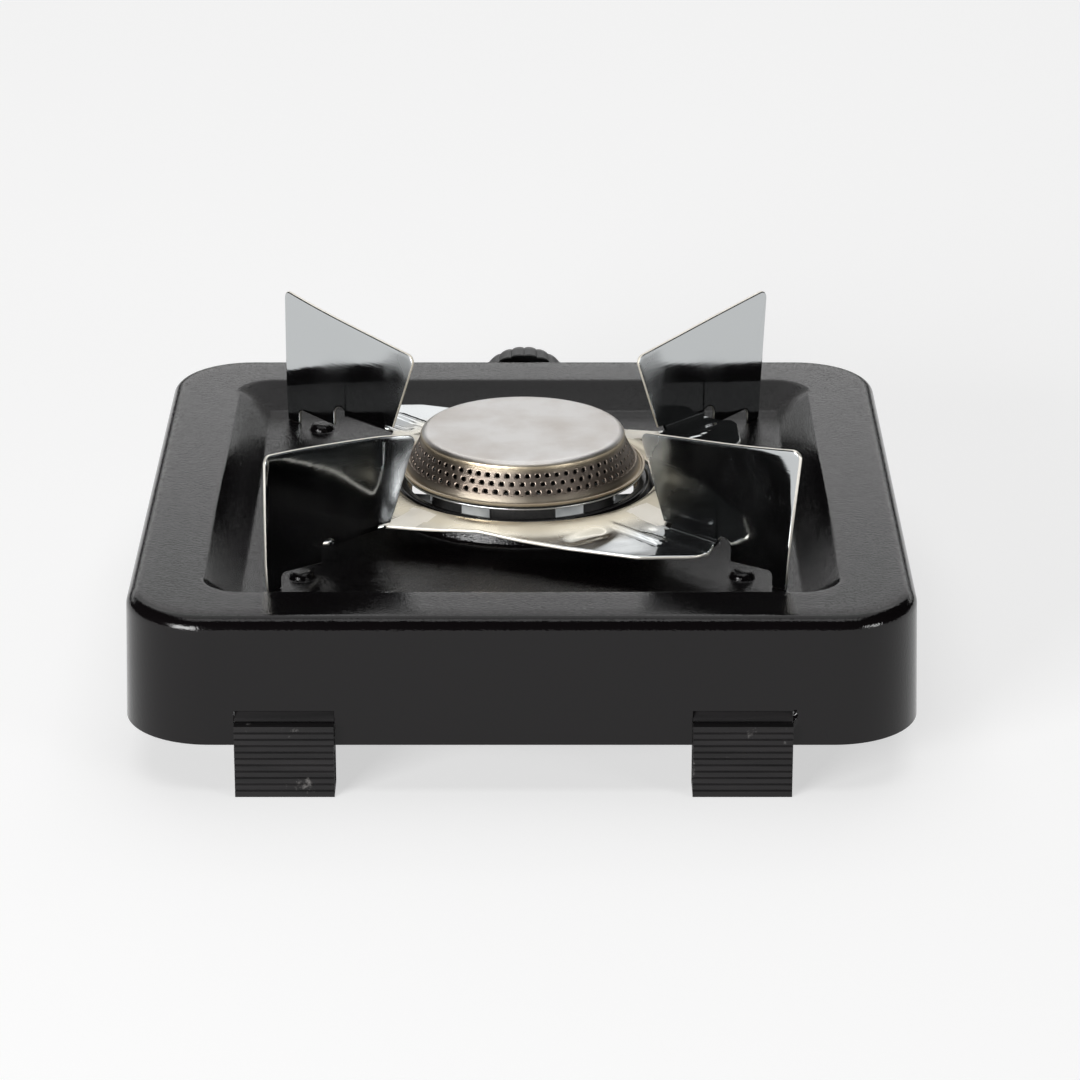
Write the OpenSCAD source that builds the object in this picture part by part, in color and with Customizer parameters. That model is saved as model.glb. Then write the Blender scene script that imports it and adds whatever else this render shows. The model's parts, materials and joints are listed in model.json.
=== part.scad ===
// Single-burner gas stove for the table: an enamelled steel body with a dished tray,
// a lift-out pan support with four upright wings, a stamped burner cap with a perforated
// rim, and a gas tap behind the far wall that feeds a mixing tube under the tray.
// The table is z = 0, the burner's axis is the Z axis and the tap's side is +Y.

/* [Body] */
// Width of the body at its bottom edge, left to right
body_w = 278; // [270:1:320]
// Depth of the body at its bottom edge, front to back
body_d = 280; // [270:1:320]
// Height of the flat rim above the table
rim_z = 64.5; // [62:0.5:72]
// Height of the body's bottom edge above the table
skirt_z = 18; // [15:0.5:20]
// Radius of the body's upright corners at the bottom edge
corner_r = 31; // [28:0.5:34]
// How far the wall leans in between its bottom edge and its top
wall_lean = 1.2; // [0.5:0.1:2.5]
// Radius of the rounding between the wall and the rim
brow_r = 5; // [4:0.5:7]
// Width from the body's bottom edge to the mouth of the tray
rim_w = 27; // [26:0.5:31]
// Depth of the tray below the rim
tray_depth = 8.5; // [7:0.5:11]
// Width that the sloping wall of the tray covers
tray_slope_w = 13; // [10:0.5:13.5]
// Radius of the tray's corners at its mouth
tray_corner_r = 14.5; // [14:0.5:20]
// Radius of the bends at the tray's mouth and floor
tray_bend_r = 3; // [2:0.25:4]
// Thickness of the enamelled sheet
body_t = 0.8; // [0.6:0.1:1]

/* [Tray] */
// Radius of the pressed collar round the burner, at its top
collar_r = 46.8; // [45.5:0.1:47.5]
// Height of the collar above the tray's floor
collar_h = 10; // [8:0.5:11]
// Width that the collar's wall spreads towards the floor
collar_spread = 3; // [2:0.5:5]
// Radius of the hole inside the collar
collar_hole_r = 41; // [39:0.5:42]
// Distance of each locating boss from the burner's axis
boss_at = 110.7; // [110:0.1:113]
// Radius of a locating boss on the floor
boss_r = 5.5; // [4.5:0.5:6]
// Height of a locating boss
boss_h = 2.8; // [2:0.1:3.2]

/* [Feet] */
// From the body's left side to the middle of the left-hand feet
foot_left_in = 57; // [55:0.5:62]
// From the body's right side to the middle of the right-hand feet
foot_right_in = 62.5; // [60:0.5:66]
// Width of a foot along the wall
foot_w = 34.5; // [28:0.5:38]
// Height of a foot's outer plate
foot_plate_h = 26.4; // [24:0.2:28]
// Depth of a foot's tread, in from the wall
foot_depth = 10; // [8:0.5:14]
// Thickness of a foot's plates
foot_t = 2.5; // [2:0.25:3]
// How far a foot's outer plate stands off the wall
foot_gap = 0.15; // [0.1:0.05:0.3]
// Height of the slot in the wall above a foot
slot_h = 4.1; // [3.6:0.1:5]
// Distance between the fine grooves on a foot
groove_pitch = 2.4; // [2:0.2:3]

/* [Pan support] */
// Thickness of the bright sheet
rack_t = 1.4; // [1:0.1:1.6]
// Height of the plate's underside above the tray's floor
rack_lift = 8; // [7:0.5:9]
// Gap between the collar and the plate's hole
rack_play = 1.2; // [0.8:0.1:1.5]
// Inside radius of the bend between plate and wing
wing_bend_r = 1.5; // [1:0.25:2]
// How far each wing's middle stands clockwise of its diagonal
wing_off = 1.2; // [0.5:0.1:2]
// Distance from the axis to a wing's inner end, at the bend
wing_root_r = 71.2; // [69:0.2:74]
// Distance from the axis to a wing's inner corner, at the top
wing_in_r = 58.8; // [56:0.2:64]
// Distance from the axis to a wing's outer corner, at the top
wing_out_r = 132.6; // [131:0.2:135]
// Distance from the axis to the outer side of a wing's leg
leg_r = 129.6; // [128.5:0.1:130]
// Width of a wing's leg
leg_w = 6.6; // [5:0.2:8]
// Height of a wing's inner corner above the tray's floor
wing_in_h = 42; // [38:0.5:45]
// Height of a wing's outer corner above the tray's floor
wing_out_h = 52.5; // [48:0.5:56]
// Height of the recess over a locating boss, beside the leg
recess_h = 5.6; // [5:0.1:6.5]
// Length of the recess, from the leg to the relief slot
recess_l = 19.7; // [18:0.1:21]
// Width of the relief slot at the outer end of the bend
relief_w = 6.4; // [5:0.2:8]
// Radius of the rounded corners of a wing
wing_corner_r = 3; // [2:0.5:5]
// Half width of the pressed rib on each arm of the plate
rib_r = 2.4; // [1.5:0.1:3]
// How far a pressed rib stands above the plate
rib_h = 1; // [0.6:0.1:1.2]
// Half width of the pressed pocket beside each rib
pocket_r = 4.6; // [3.5:0.1:5]
// Depth of a pressed pocket
pocket_h = 0.8; // [0.5:0.1:0.9]
// Width of the raised edge round the plate's hole
bead_w = 8; // [6:0.5:9]
// How far the loose support has slid to the right in the tray
rack_shift = 0.9; // [-1:0.1:1]
// How far the loose support is turned in the tray, in degrees
rack_turn = 1.1; // [-1.2:0.1:1.2]

/* [Burner] */
// Thickness of the stamped cap
cap_t = 0.7; // [0.5:0.1:1]
// Radius of the cap's flat disc
cap_disc_r = 36.5; // [35:0.5:38]
// Radius at the foot of the cap's perforated cone
cap_cone_r = 43.2; // [42.5:0.1:44]
// Radius of the cap's flange
cap_flange_r = 45; // [44.5:0.1:45.3]
// Height of the cap from the underside of its flange
cap_h = 14.4; // [12:0.2:17]
// Radius of the rounding at the edge of the cap's disc
cap_edge_r = 2.4; // [1.5:0.1:3]
// How many flame ports there are in each ring
ports = 66; // [48:2:72]
// Rings of flame ports
port_rings = 3; // [2:1:3]
// Diameter of a flame port
port_d = 1.7; // [1.2:0.1:1.9]
// Distance between the rings, along the cone
port_step = 3; // [2.6:0.1:3.2]
// Outside radius of the burner cup
cup_r = 34; // [32:0.5:35]
// Height of the burner cup
cup_h = 14.6; // [12:0.2:16]
// Wall of the burner cup
cup_t = 2; // [1.5:0.25:3]
// Thickness of the cup's base
cup_base_t = 3; // [2.5:0.25:4]
// How far the cup's base hangs below the underside of the tray
cup_drop = 1.2; // [0.8:0.1:2]
// Thickness of the six-legged seat ring
seat_t = 0.8; // [0.6:0.1:1.2]
// Number of legs on the seat ring
seat_legs = 6; // [4:1:8]
// Width of a leg of the seat ring
seat_leg_w = 11.5; // [8:0.5:13]

/* [Mixing tube] */
// Outside radius of the tube
tube_r = 8; // [7:0.25:8.5]
// Wall of the tube
tube_t = 1; // [0.8:0.1:1.2]
// Radius of the elbow under the cup, at the middle of the tube
elbow_r = 12; // [11:0.5:14]
// Outside radius of the wide inlet end
inlet_r = 10; // [9.5:0.25:10.5]
// Length of the wide inlet end
inlet_l = 28; // [26:0.5:32]
// Length of the cone between tube and inlet
reducer_l = 12; // [8:0.5:16]
// Length of the air windows
window_l = 10; // [6:0.5:11]
// Angle that each air window spans
window_a = 50; // [35:1:55]
// Number of air windows
windows = 4; // [3:1:4]
// Length of the air shutter
shutter_l = 14; // [13:0.5:16]
// Thickness of the air shutter
shutter_t = 0.8; // [0.6:0.1:1]
// Running gap between shutter and tube
shutter_gap = 0.06; // [0.04:0.01:0.1]

/* [Gas tap] */
// Distance from the body's bottom edge to the tap's bracket
bracket_set = 12.3; // [11:0.1:13]
// Thickness of the tap's bracket
bracket_t = 1.2; // [1:0.1:1.5]
// Radius of the tap's barrel
barrel_r = 9.5; // [9:0.25:11]
// Length of the tap's barrel behind its flange
barrel_l = 15.5; // [14.5:0.5:18]
// Length of the nose that holds the mixing tube
nose_l = 8; // [7.5:0.5:9]
// Gap between nose and mixing tube
nose_gap = 0.1; // [0.05:0.01:0.15]
// Radius of the tapered plug at its wide end
plug_r = 5.6; // [5:0.1:6]
// Radius of the tapered plug at its narrow end
plug_tip_r = 4.4; // [4:0.1:4.6]
// Length of the plug
plug_l = 18; // [17:0.5:18.5]
// Running gap round the plug
plug_gap = 0.04; // [0.02:0.01:0.06]
// Radius of the spindle
spindle_r = 3; // [2.5:0.25:3.25]
// Running gap round the spindle
spindle_gap = 0.06; // [0.04:0.01:0.1]
// How far the knob can be pushed in
push_in = 3; // [2:0.25:3.5]
// Wire of the tap's spring
spring_wire = 0.8; // [0.6:0.1:1]
// Coils of the tap's spring
spring_coils = 4; // [3:1:5]
// Distance between the two tap screws
tap_screw_gap = 26; // [24:1:30]
// Radius of the jet's orifice
orifice_r = 0.35; // [0.25:0.05:0.5]

/* [Knob] */
// Radius of the knob
knob_r = 20.5; // [19.5:0.5:23]
// Length of the knob
knob_l = 19; // [17:0.5:24]
// Gap between the body's bottom edge line and the knob
knob_gap = 9; // [7:0.5:12]
// Wall of the knob
knob_t = 2.2; // [1.8:0.1:3]
// Grip flutes round the knob
flutes = 24; // [16:2:30]
// Depth of a grip flute
flute_depth = 1.1; // [0.6:0.1:1.5]

/* [Gas inlet] */
// How far the hose nozzle stands beside the tap
nozzle_x = 60; // [52:1:70]
// Radius of the nozzle's land for the hose
nozzle_r = 4.75; // [4:0.25:5]
// Length of the nozzle's land behind its barbs
nozzle_land = 8; // [6:0.5:12]
// Barbs on the nozzle
barbs = 3; // [2:1:4]
// Length of one barb
barb_l = 5; // [4:0.5:6]
// Radius of the gas pipe inside the body
pipe_r = 3; // [2.5:0.25:3.5]
// Radius of the gas pipe's bend, at its middle
pipe_bend_r = 8; // [7:0.5:9]

/* [Hidden] */
$fn = 64;

enamel = "#1b1a1c";
chrome = "#c9ccce";
stainless = "#c8c2b8";
cast_black = "#242324";
zinc = "#b9bcbd";
brass = "#b98f4a";
plastic = "#1d1d1f";
copper = "#a8673f";

eps = 0.01;
bend_steps = 6; // flats in each rounded bend of a sheet's outline
screw_r = 2; // M4
screw_fit = 0.02; // gap round a screw's thread
screw_clearance = 0.25; // gap round a screw in a plain hole
head_r = 3.6;
head_h = 2.4;
contact = 0.05; // gap between faces that slide on each other

// The body's own heights and places
floor_z = rim_z - tray_depth;
under_z = floor_z - body_t;
corner_x = body_w / 2 - corner_r;
corner_y = body_d / 2 - corner_r;
tray_x = body_w / 2 - rim_w - tray_corner_r;
tray_y = body_d / 2 - rim_w - tray_corner_r;
wall_y = body_d / 2;
foot_left_x = foot_left_in - body_w / 2;
foot_right_x = body_w / 2 - foot_right_in;
collar_foot_r = collar_r + collar_spread;

// The burner's stack, from the cup's base upwards
cup_z = under_z - cup_drop;
cup_top_z = cup_z + cup_h;
seat_z = cup_top_z + seat_t;
tap_z = cup_z - elbow_r;
bore_gap = 0.05; // the tube's neck in the cup's base
seat_step = 0.6; // how far the cap's flange stands out past its seat

// The tap's places, measured along +Y
bracket_y = wall_y - bracket_set;
bonnet_t = 2;
flange_t = 3;
flange_y = bracket_y - bracket_t - bonnet_t;
barrel_y = flange_y - flange_t - barrel_l;
nose_y = barrel_y - nose_l;
plug_y = flange_y - flange_t - plug_l;
plug_top_y = plug_y + plug_l;
bonnet_r = 8;
cavity_r = 6.2;
bonnet_l = 10; // from the flange's face to the bonnet's outer end
bonnet_end_t = 1.5;
cavity_y = flange_y + bonnet_l - bonnet_end_t;
seal_t = 0.8;
collar_t = 1.5;
spindle_collar_r = 5.8;
spindle_collar_y = cavity_y - seal_t - 2 * contact - collar_t;
knob_y = wall_y + knob_gap;
screw_margin = 4.5; // from a tap screw's middle to the flange's end
bracket_margin = 7; // from the nozzle's hexagon to the bracket's end
flange_w = tap_screw_gap + 2 * screw_margin;
flange_h = 17;
inlet_in_r = inlet_r - tube_t;
nose_r = inlet_in_r - nose_gap;
jet_hex = 9;
jet_hex_l = 4;
jet_l = 10;
jet_thread_r = 2.5;
jet_thread_l = plug_y - nose_y - 1.5;
pipe_in = 6; // from the barrel's near end to the pipe's middle
pipe_y = barrel_y + pipe_in;
spindle_hole_r = spindle_r + 4;
window_y = nose_y - jet_l - 4;

// The hose nozzle's places
shank_r = 5;
nozzle_hole_r = shank_r + 2.5;
nozzle_hex = 14;
nozzle_hex_l = 5;
nut_l = 5;
shank_in = 2.5; // thread left beyond the nut
shank_y = bracket_y - bracket_t - nut_l - shank_in;

// How thick the wall's lean makes it stand in at a height
function wall_in(z) = wall_lean * (z - skirt_z) / (rim_z - skirt_z);

// Outlines of bent sheet. A path is a list of corners [x, y, radius], and a sheet is the
// band between the path and its copy moved sideways by the thickness.
function unit(v) = v / norm(v);
function left_of(d) = [-d.y, d.x];
function turned(v, a) = [v.x * cos(a) - v.y * sin(a), v.x * sin(a) + v.y * cos(a)];
function turn(a, b) = atan2(a.x * b.y - a.y * b.x, a * b);
function flat(p) = [p.x, p.y];
function heading(path, i) = unit(flat(path[i + 1]) - flat(path[i]));

function bend(p, v, n) =
  let (a = turn(unit(flat(v) - flat(p)), unit(flat(n) - flat(v))))
  let (d = unit(flat(v) - flat(p)), cut = v.z * tan(abs(a) / 2))
  let (start = flat(v) - d * cut, centre = start + sign(a) * v.z * left_of(d))
  v.z <= 0 ? [flat(v)]
  : [for (k = [0:bend_steps]) centre + turned(start - centre, a * k / bend_steps)];

function rounded(path) = [
  for (i = [0:len(path) - 1])
    each (i == 0 || i == len(path) - 1) ? [flat(path[i])]
    : bend(path[i - 1], path[i], path[i + 1])
];

function rounded_loop(path) = [
  for (i = [0:len(path) - 1])
    each bend(path[(i + len(path) - 1) % len(path)], path[i], path[(i + 1) % len(path)])
];

function moved(path, t) = [
  for (i = [0:len(path) - 1])
    let (a = heading(path, max(i - 1, 0)), b = heading(path, min(i, len(path) - 2)))
    let (m = left_of(a) + left_of(b), side = sign(turn(a, b)))
    let (at = flat(path[i]) + t * m / (1 + left_of(a) * left_of(b)))
    [at.x, at.y, path[i].z > 0 ? max(path[i].z - side * t, 0) : 0]
];

function reversed(list) = [for (i = [len(list) - 1:-1:0]) list[i]];
function sheet(path, t) = concat(rounded(path), reversed(rounded(moved(path, t))));

// ---- Body ----

// Section of the wall and the outer half of the rim, measured out from a corner's centre
wall_path = [
  [corner_r, skirt_z, 0],
  [corner_r - wall_lean, rim_z, brow_r],
  [corner_r - rim_w / 2, rim_z, 0]
];

// Section of the rim's inner edge and the tray's slope, out from a tray corner's centre
slope_path = [
  [tray_corner_r + rim_w / 4, rim_z, 0],
  [tray_corner_r, rim_z, tray_bend_r],
  [tray_corner_r - tray_slope_w, floor_z, tray_bend_r],
  [0, floor_z, 0]
];

// Section of the pressed collar, from the floor up and over to its hole
collar_path = [
  [collar_foot_r + tray_bend_r, floor_z, 0],
  [collar_foot_r, floor_z, tray_bend_r - body_t],
  [collar_r, floor_z + collar_h, 1.6],
  [collar_hole_r + 2, floor_z + collar_h - 1, 1.6],
  [collar_hole_r, floor_z + collar_h - 5, 0]
];

// Carries a section round a square whose corners' centres are at [x, y]
module carried_round(x, y) {
  for (side = [[0, x, y], [90, y, x], [180, x, y], [270, y, x]])
    rotate(side[0]) translate([side[1], side[2], 0]) {
      rotate_extrude(angle = 90) children();
      rotate([90, 0, 0]) linear_extrude(2 * side[2]) children();
    }
}

function round_corners(x, y, r) = rounded_loop([[x, -y, r], [x, y, r], [-x, y, r], [-x, -y, r]]);

// The flat of the rim, between the wall's corners and the tray's tighter ones
module rim_flat() {
  outer = rim_w / 3;
  inner = tray_corner_r + rim_w / 8;
  translate([0, 0, rim_z - body_t]) linear_extrude(body_t) difference() {
    polygon(round_corners(body_w / 2 - outer, body_d / 2 - outer, corner_r - outer));
    polygon(round_corners(tray_x + inner, tray_y + inner, inner));
  }
}

module boss_dome(r, h, z) {
  ball_r = (r * r + h * h) / (2 * h);
  translate([0, 0, z + h - ball_r]) sphere(ball_r);
}

module at_bosses() {
  for (a = [45:90:315]) rotate(a) translate([boss_at, 0, 0]) children();
}

module tray_floor() {
  difference() {
    translate([-tray_x, -tray_y, under_z]) cube([2 * tray_x, 2 * tray_y, body_t]);
    cylinder(h = 3 * rim_z, r = collar_foot_r + tray_bend_r, center = true);
  }
  rotate_extrude() polygon(sheet(collar_path, body_t));
}

module boss_caps() {
  at_bosses() intersection() {
    boss_dome(boss_r, boss_h, floor_z);
    translate([0, 0, floor_z - body_t / 2]) cylinder(h = boss_h + body_t, r = boss_r);
  }
}

module boss_hollows() {
  at_bosses() intersection() {
    boss_dome(boss_r - body_t, boss_h - body_t / 2, under_z);
    translate([0, 0, under_z - body_t]) cylinder(h = boss_h + body_t, r = boss_r);
  }
}

module foot_slots() {
  for (x = [foot_left_x, foot_right_x], side = [-1, 1])
    translate([x, side * wall_y, foot_plate_h + slot_h / 2])
      cube([foot_w, 4 * wall_lean + 4 * body_t, slot_h], center = true);
}

module tap_holes() {
  for (hole = [[0, spindle_hole_r], [nozzle_x, nozzle_hole_r]])
    translate([hole[0], wall_y - brow_r, tap_z]) rotate([-90, 0, 0])
      cylinder(h = 2 * brow_r, r = hole[1]);
}

module body_shell() {
  color(enamel) difference() {
    union() {
      carried_round(corner_x, corner_y) polygon(sheet(wall_path, body_t));
      rim_flat();
      carried_round(tray_x, tray_y) polygon(sheet(slope_path, body_t));
      tray_floor();
      boss_caps();
    }
    boss_hollows();
    foot_slots();
    tap_holes();
  }
}

// ---- Feet: a length of ribbed section that clips over the body's bottom edge ----

lip_in = body_t + wall_lean + 0.1; // clears the leaning wall
lip_t = 2.2;
ledge_z = skirt_z - contact;
barb_low = foot_plate_h + 0.4;
barb_high = foot_plate_h + slot_h - 0.5;

module foot_section() {
  difference() {
    polygon([
      [-foot_gap - foot_t - 1, 0], [-foot_gap - foot_t - 1, foot_plate_h],
      [-foot_gap, foot_plate_h], [-foot_gap, ledge_z], [lip_in, ledge_z],
      [lip_in, barb_low], [wall_in(barb_low) + 0.1, barb_low],
      [wall_in(barb_low) + 0.1, barb_low + 1], [lip_in, barb_high],
      [lip_in + lip_t, barb_high], [lip_in + lip_t, ledge_z], [foot_depth, ledge_z],
      [foot_depth, 0]
    ]);
    translate([-foot_gap - 1, foot_t])
      square([foot_depth + foot_gap + 1 - foot_t, skirt_z - 2 * foot_t]);
    for (z = [groove_pitch:groove_pitch:foot_plate_h - groove_pitch / 2])
      translate([-foot_gap - foot_t - 1, z]) rotate(45) square(0.6, center = true);
  }
}

// A foot on the front wall, centred on x
module foot(x) {
  color(plastic) translate([x - foot_w / 2, -wall_y, 0]) rotate([90, 0, 90])
    linear_extrude(foot_w) foot_section();
}

module rear_foot(x) {
  mirror([0, 1, 0]) foot(x);
}

// ---- Pan support: one pressed sheet, four arms, four wings bent up ----

plate_z = floor_z + rack_lift;
wing_z = plate_z + rack_t + wing_bend_r;
wing_in_v = -wing_off - rack_t / 2; // the wing's clockwise face
bend_v = wing_in_v - wing_bend_r;
leg_in_r = leg_r - leg_w;
slot_end_r = leg_in_r - recess_l;
bend_end_r = slot_end_r - relief_w;
bend_start_r = wing_root_r + 4;
plate_top_z = plate_z + rack_t;
rack_hole_r = collar_r + collar_spread * (1 - rack_lift / collar_h) + rack_play;

// One arm's edge, in the arm's own frame: u runs out along the wing and v to its left.
// It leaves the next wing's root and swings out to a round tip at the end of the bend.
arm_edge = [
  [-wing_off, -wing_root_r, 3],
  [0.39 * wing_root_r, -0.745 * wing_root_r, 12],
  [0.86 * wing_root_r, -0.59 * wing_root_r, 20],
  [0.885 * bend_end_r, -0.32 * bend_end_r, 8],
  [1.05 * bend_end_r, -0.15 * bend_end_r, 8],
  [bend_end_r, bend_v, 2],
  [bend_start_r, bend_v, 0]
];

function arm_turn(k) = 45 + 90 * k;
function pinwheel() = [
  for (k = [0:3], p = arm_edge)
    let (q = turned(flat(p), arm_turn(k)))
    [q.x, q.y, p.z]
];

// Pressed relief on each arm, from the raised edge of the hole outwards
rib_start = [0.76 * wing_root_r, -0.2 * wing_root_r];
rib_end = [0.86 * bend_end_r, -0.16 * bend_end_r];
pocket_start = [0.84 * wing_root_r, -0.34 * wing_root_r];
pocket_end = [0.84 * wing_root_r, -0.54 * wing_root_r];

// Radius of the round back of a relief, from its half width and its height
function crown(r, h) = (r * r + h * h) / (2 * h);

// Places a relief that runs along +X from the origin
module from_to(from, to) {
  run = to - from;
  translate([from.x, from.y, 0]) rotate(atan2(run.y, run.x)) children();
}

module long_rod(length, r, z) {
  translate([-length, 0, z]) rotate([0, 90, 0]) cylinder(h = 3 * length, r = r);
}

module round_ended(length, r, low, high) {
  half = 0.97 * r;
  corner = 0.98 * half;
  translate([0, 0, low]) linear_extrude(high - low) polygon(rounded_loop([
    [-half, -half, corner], [length + half, -half, corner],
    [length + half, half, corner], [-half, half, corner]
  ]));
}

// A rib: a low round-topped bead with round ends, standing on the plate
module rib() {
  length = norm(rib_end - rib_start);
  from_to(rib_start, rib_end) intersection() {
    long_rod(length, crown(rib_r, rib_h), plate_top_z + rib_h - crown(rib_r, rib_h));
    round_ended(length, rib_r, plate_top_z - rack_t / 2, plate_top_z + 2 * rib_h);
  }
}

// A pocket: the plate's two faces are pressed down by the same amount
module pocket_hollow() {
  length = norm(pocket_end - pocket_start);
  from_to(pocket_start, pocket_end) intersection() {
    long_rod(length, crown(pocket_r, pocket_h), plate_top_z - pocket_h + crown(pocket_r, pocket_h));
    round_ended(length, pocket_r, plate_z, plate_top_z + 1);
  }
}

module pocket_bulge() {
  length = norm(pocket_end - pocket_start);
  back = crown(pocket_r, pocket_h);
  from_to(pocket_start, pocket_end) intersection() {
    long_rod(length, back + rack_t, plate_top_z - pocket_h + back);
    round_ended(length, pocket_r + rack_t / 2, plate_z - 2 * pocket_h, plate_z + rack_t / 2);
  }
}

module rack_plate() {
  difference() {
    union() {
      translate([0, 0, plate_z]) linear_extrude(rack_t) difference() {
        polygon(rounded_loop(pinwheel()));
        circle(rack_hole_r);
      }
      for (k = [0:3]) rotate(arm_turn(k)) pocket_bulge();
    }
    for (k = [0:3]) rotate(arm_turn(k)) pocket_hollow();
  }
}

// The plate's edge is pressed up a little all round its hole
module rim_bead() {
  rise = 0.9;
  rotate_extrude() translate([rack_hole_r, plate_top_z]) polygon([
    [0.06 * bead_w, -rack_t / 2], [0.08 * bead_w, 0.5 * rise], [0.2 * bead_w, rise],
    [0.4 * bead_w, rise], [0.7 * bead_w, 0.55 * rise], [bead_w, 0], [bead_w, -rack_t / 2]
  ]);
}

// The face of a wing and its bend, as [distance from the axis, height]
module wing_outline() {
  slot_top = wing_z + relief_w / 2 - 2;
  polygon(rounded_loop([
    [bend_start_r, plate_z - 1, 0],
    [bend_start_r, wing_z, 0],
    [wing_root_r, wing_z, 0],
    [wing_in_r, floor_z + wing_in_h, wing_corner_r],
    [wing_out_r, floor_z + wing_out_h, wing_corner_r],
    [leg_r, floor_z, 1],
    [leg_in_r, floor_z, 0.8],
    [leg_in_r, floor_z + recess_h, 1.8],
    [slot_end_r, floor_z + 0.7 * recess_h, 0.8],
    [slot_end_r, slot_top, relief_w / 2 - 0.1],
    [bend_end_r, slot_top, relief_w / 2 - 0.1],
    [bend_end_r, plate_z - 1, 0]
  ]));
}

// Across a wing: the plate's strip, the bend and the wing, as [sideways, height]
wing_section = [
  [bend_v - 3, plate_z, 0],
  [wing_in_v + rack_t, plate_z, wing_bend_r + rack_t],
  [wing_in_v + rack_t, floor_z + wing_out_h + 1, 0]
];

module wing_blank() {
  translate([wing_in_r - 1, 0, 0]) rotate([90, 0, 90])
    linear_extrude(bend_end_r - wing_in_r + 1) polygon(sheet(wing_section, rack_t));
  translate([bend_end_r, wing_in_v, floor_z - 1])
    cube([wing_out_r - bend_end_r + 1, rack_t, wing_out_h + 2]);
}

module wing() {
  intersection() {
    wing_blank();
    translate([0, wing_in_v + 2 * rack_t, 0]) rotate([90, 0, 0])
      linear_extrude(wing_bend_r + 6 * rack_t) wing_outline();
  }
}

module pan_support() {
  color(chrome) translate([rack_shift, 0, 0]) rotate(rack_turn) {
    rack_plate();
    rim_bead();
    for (k = [0:3]) rotate(arm_turn(k)) {
      rib();
      wing();
    }
  }
}

// ---- Burner ----

// Section of the cap's upper face, from the axis out to its turned-up lip
cap_path = [
  [0, seat_z + cap_h, 0],
  [cap_disc_r, seat_z + cap_h, cap_edge_r],
  [cap_cone_r, seat_z + cap_t, 1],
  [cap_flange_r, seat_z + cap_t, 0.4],
  [cap_flange_r + 0.3, seat_z + cap_t + 1.3, 0]
];
cone_lean = atan2(cap_cone_r - cap_disc_r, cap_h - cap_t);
cone_l = norm([cap_cone_r - cap_disc_r, cap_h - cap_t]);

module flame_ports() {
  for (ring = [0:port_rings - 1], k = [0:ports - 1])
    let (along = cone_l / 2 + port_step * (ring - (port_rings - 1) / 2))
    rotate((k + (ring % 2) / 2) * 360 / ports)
      translate([cap_cone_r - along * sin(cone_lean), 0, seat_z + cap_t + along * cos(cone_lean)])
        rotate([0, 90 - cone_lean, 0]) cylinder(h = 6 * cap_t, d = port_d, center = true, $fn = 16);
}

module burner_cap() {
  color(stainless) difference() {
    rotate_extrude() polygon(sheet(cap_path, -cap_t));
    flame_ports();
  }
}

module strap_screw_places() {
  for (side = [-1, 1]) translate([side * cup_r * 0.62, 0, 0]) children();
}

module burner_cup() {
  color(cast_black) difference() {
    rotate_extrude() polygon(rounded_loop([
      [0, cup_z, 0],
      [cup_r, cup_z, 3],
      [cup_r, cup_top_z, 0],
      [cup_r - cup_t, cup_top_z, 0],
      [cup_r - cup_t, cup_z + cup_base_t, 2],
      [0, cup_z + cup_base_t, 0]
    ]));
    translate([0, 0, cup_z - 1]) cylinder(h = cup_base_t + 2, r = tube_r + bore_gap);
    strap_screw_places()
      translate([0, 0, cup_z - 1]) cylinder(h = cup_base_t + 2, r = screw_r + screw_fit);
  }
}

module seat_leg() {
  half = asin(seat_leg_w / 2 / cup_r);
  leg_h = cup_h - cup_base_t - 1;
  rotate(-half) translate([0, 0, cup_top_z - leg_h]) rotate_extrude(angle = 2 * half)
    translate([cup_r, 0]) square([seat_t, leg_h + seat_t / 2]);
}

module burner_seat() {
  color(zinc) {
    translate([0, 0, cup_top_z]) difference() {
      cylinder(h = seat_t, r = cap_flange_r - seat_step);
      translate([0, 0, -1]) cylinder(h = seat_t + 2, r = cup_r - cup_t);
    }
    for (k = [0:seat_legs - 1]) rotate(k * 360 / seat_legs) seat_leg();
  }
}

strap_t = 1.2;
strap_w = 24;
strap_tab = 12; // length of the tab that lies under the tray at either end
strap_end = collar_foot_r + tray_bend_r + strap_tab;
strap_ramp = 4;

module burner_strap() {
  low = cup_z - strap_t;
  high = under_z - strap_t;
  color(zinc) difference() {
    translate([0, strap_w / 2, 0]) rotate([90, 0, 0]) linear_extrude(strap_w) polygon([
      [-strap_end, high], [-strap_end, under_z], [-collar_foot_r - tray_bend_r, under_z],
      [-collar_hole_r + strap_ramp, cup_z], [collar_hole_r - strap_ramp, cup_z],
      [collar_foot_r + tray_bend_r, under_z], [strap_end, under_z], [strap_end, high],
      [collar_foot_r + tray_bend_r, high], [collar_hole_r - strap_ramp, low],
      [-collar_hole_r + strap_ramp, low], [-collar_foot_r - tray_bend_r, high]
    ]);
    translate([0, 0, low - 1]) cylinder(h = strap_t + 2, r = tube_r + 0.6);
    strap_screw_places() translate([0, 0, low - 1])
      cylinder(h = strap_t + 2, r = screw_r + screw_clearance);
  }
}

// A cross-recessed screw: its head's underside is at the origin and its thread runs up +Z
module screw(length) {
  difference() {
    union() {
      cylinder(h = length, r = screw_r);
      translate([0, 0, -head_h]) cylinder(h = head_h, r1 = head_r - 0.8, r2 = head_r);
    }
    for (a = [0, 90]) rotate(a) translate([0, 0, -head_h]) cube([3.6, 0.8, 2.4], center = true);
  }
}

module strap_screws() {
  color(zinc) strap_screw_places() translate([0, 0, cup_z - strap_t])
    screw(strap_t + cup_base_t);
}

// ---- Mixing tube and its air shutter ----

// Places children with their +Z along +Y, on the tap's axis
module on_tap() {
  translate([0, 0, tap_z]) rotate([-90, 0, 0]) children();
}

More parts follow.
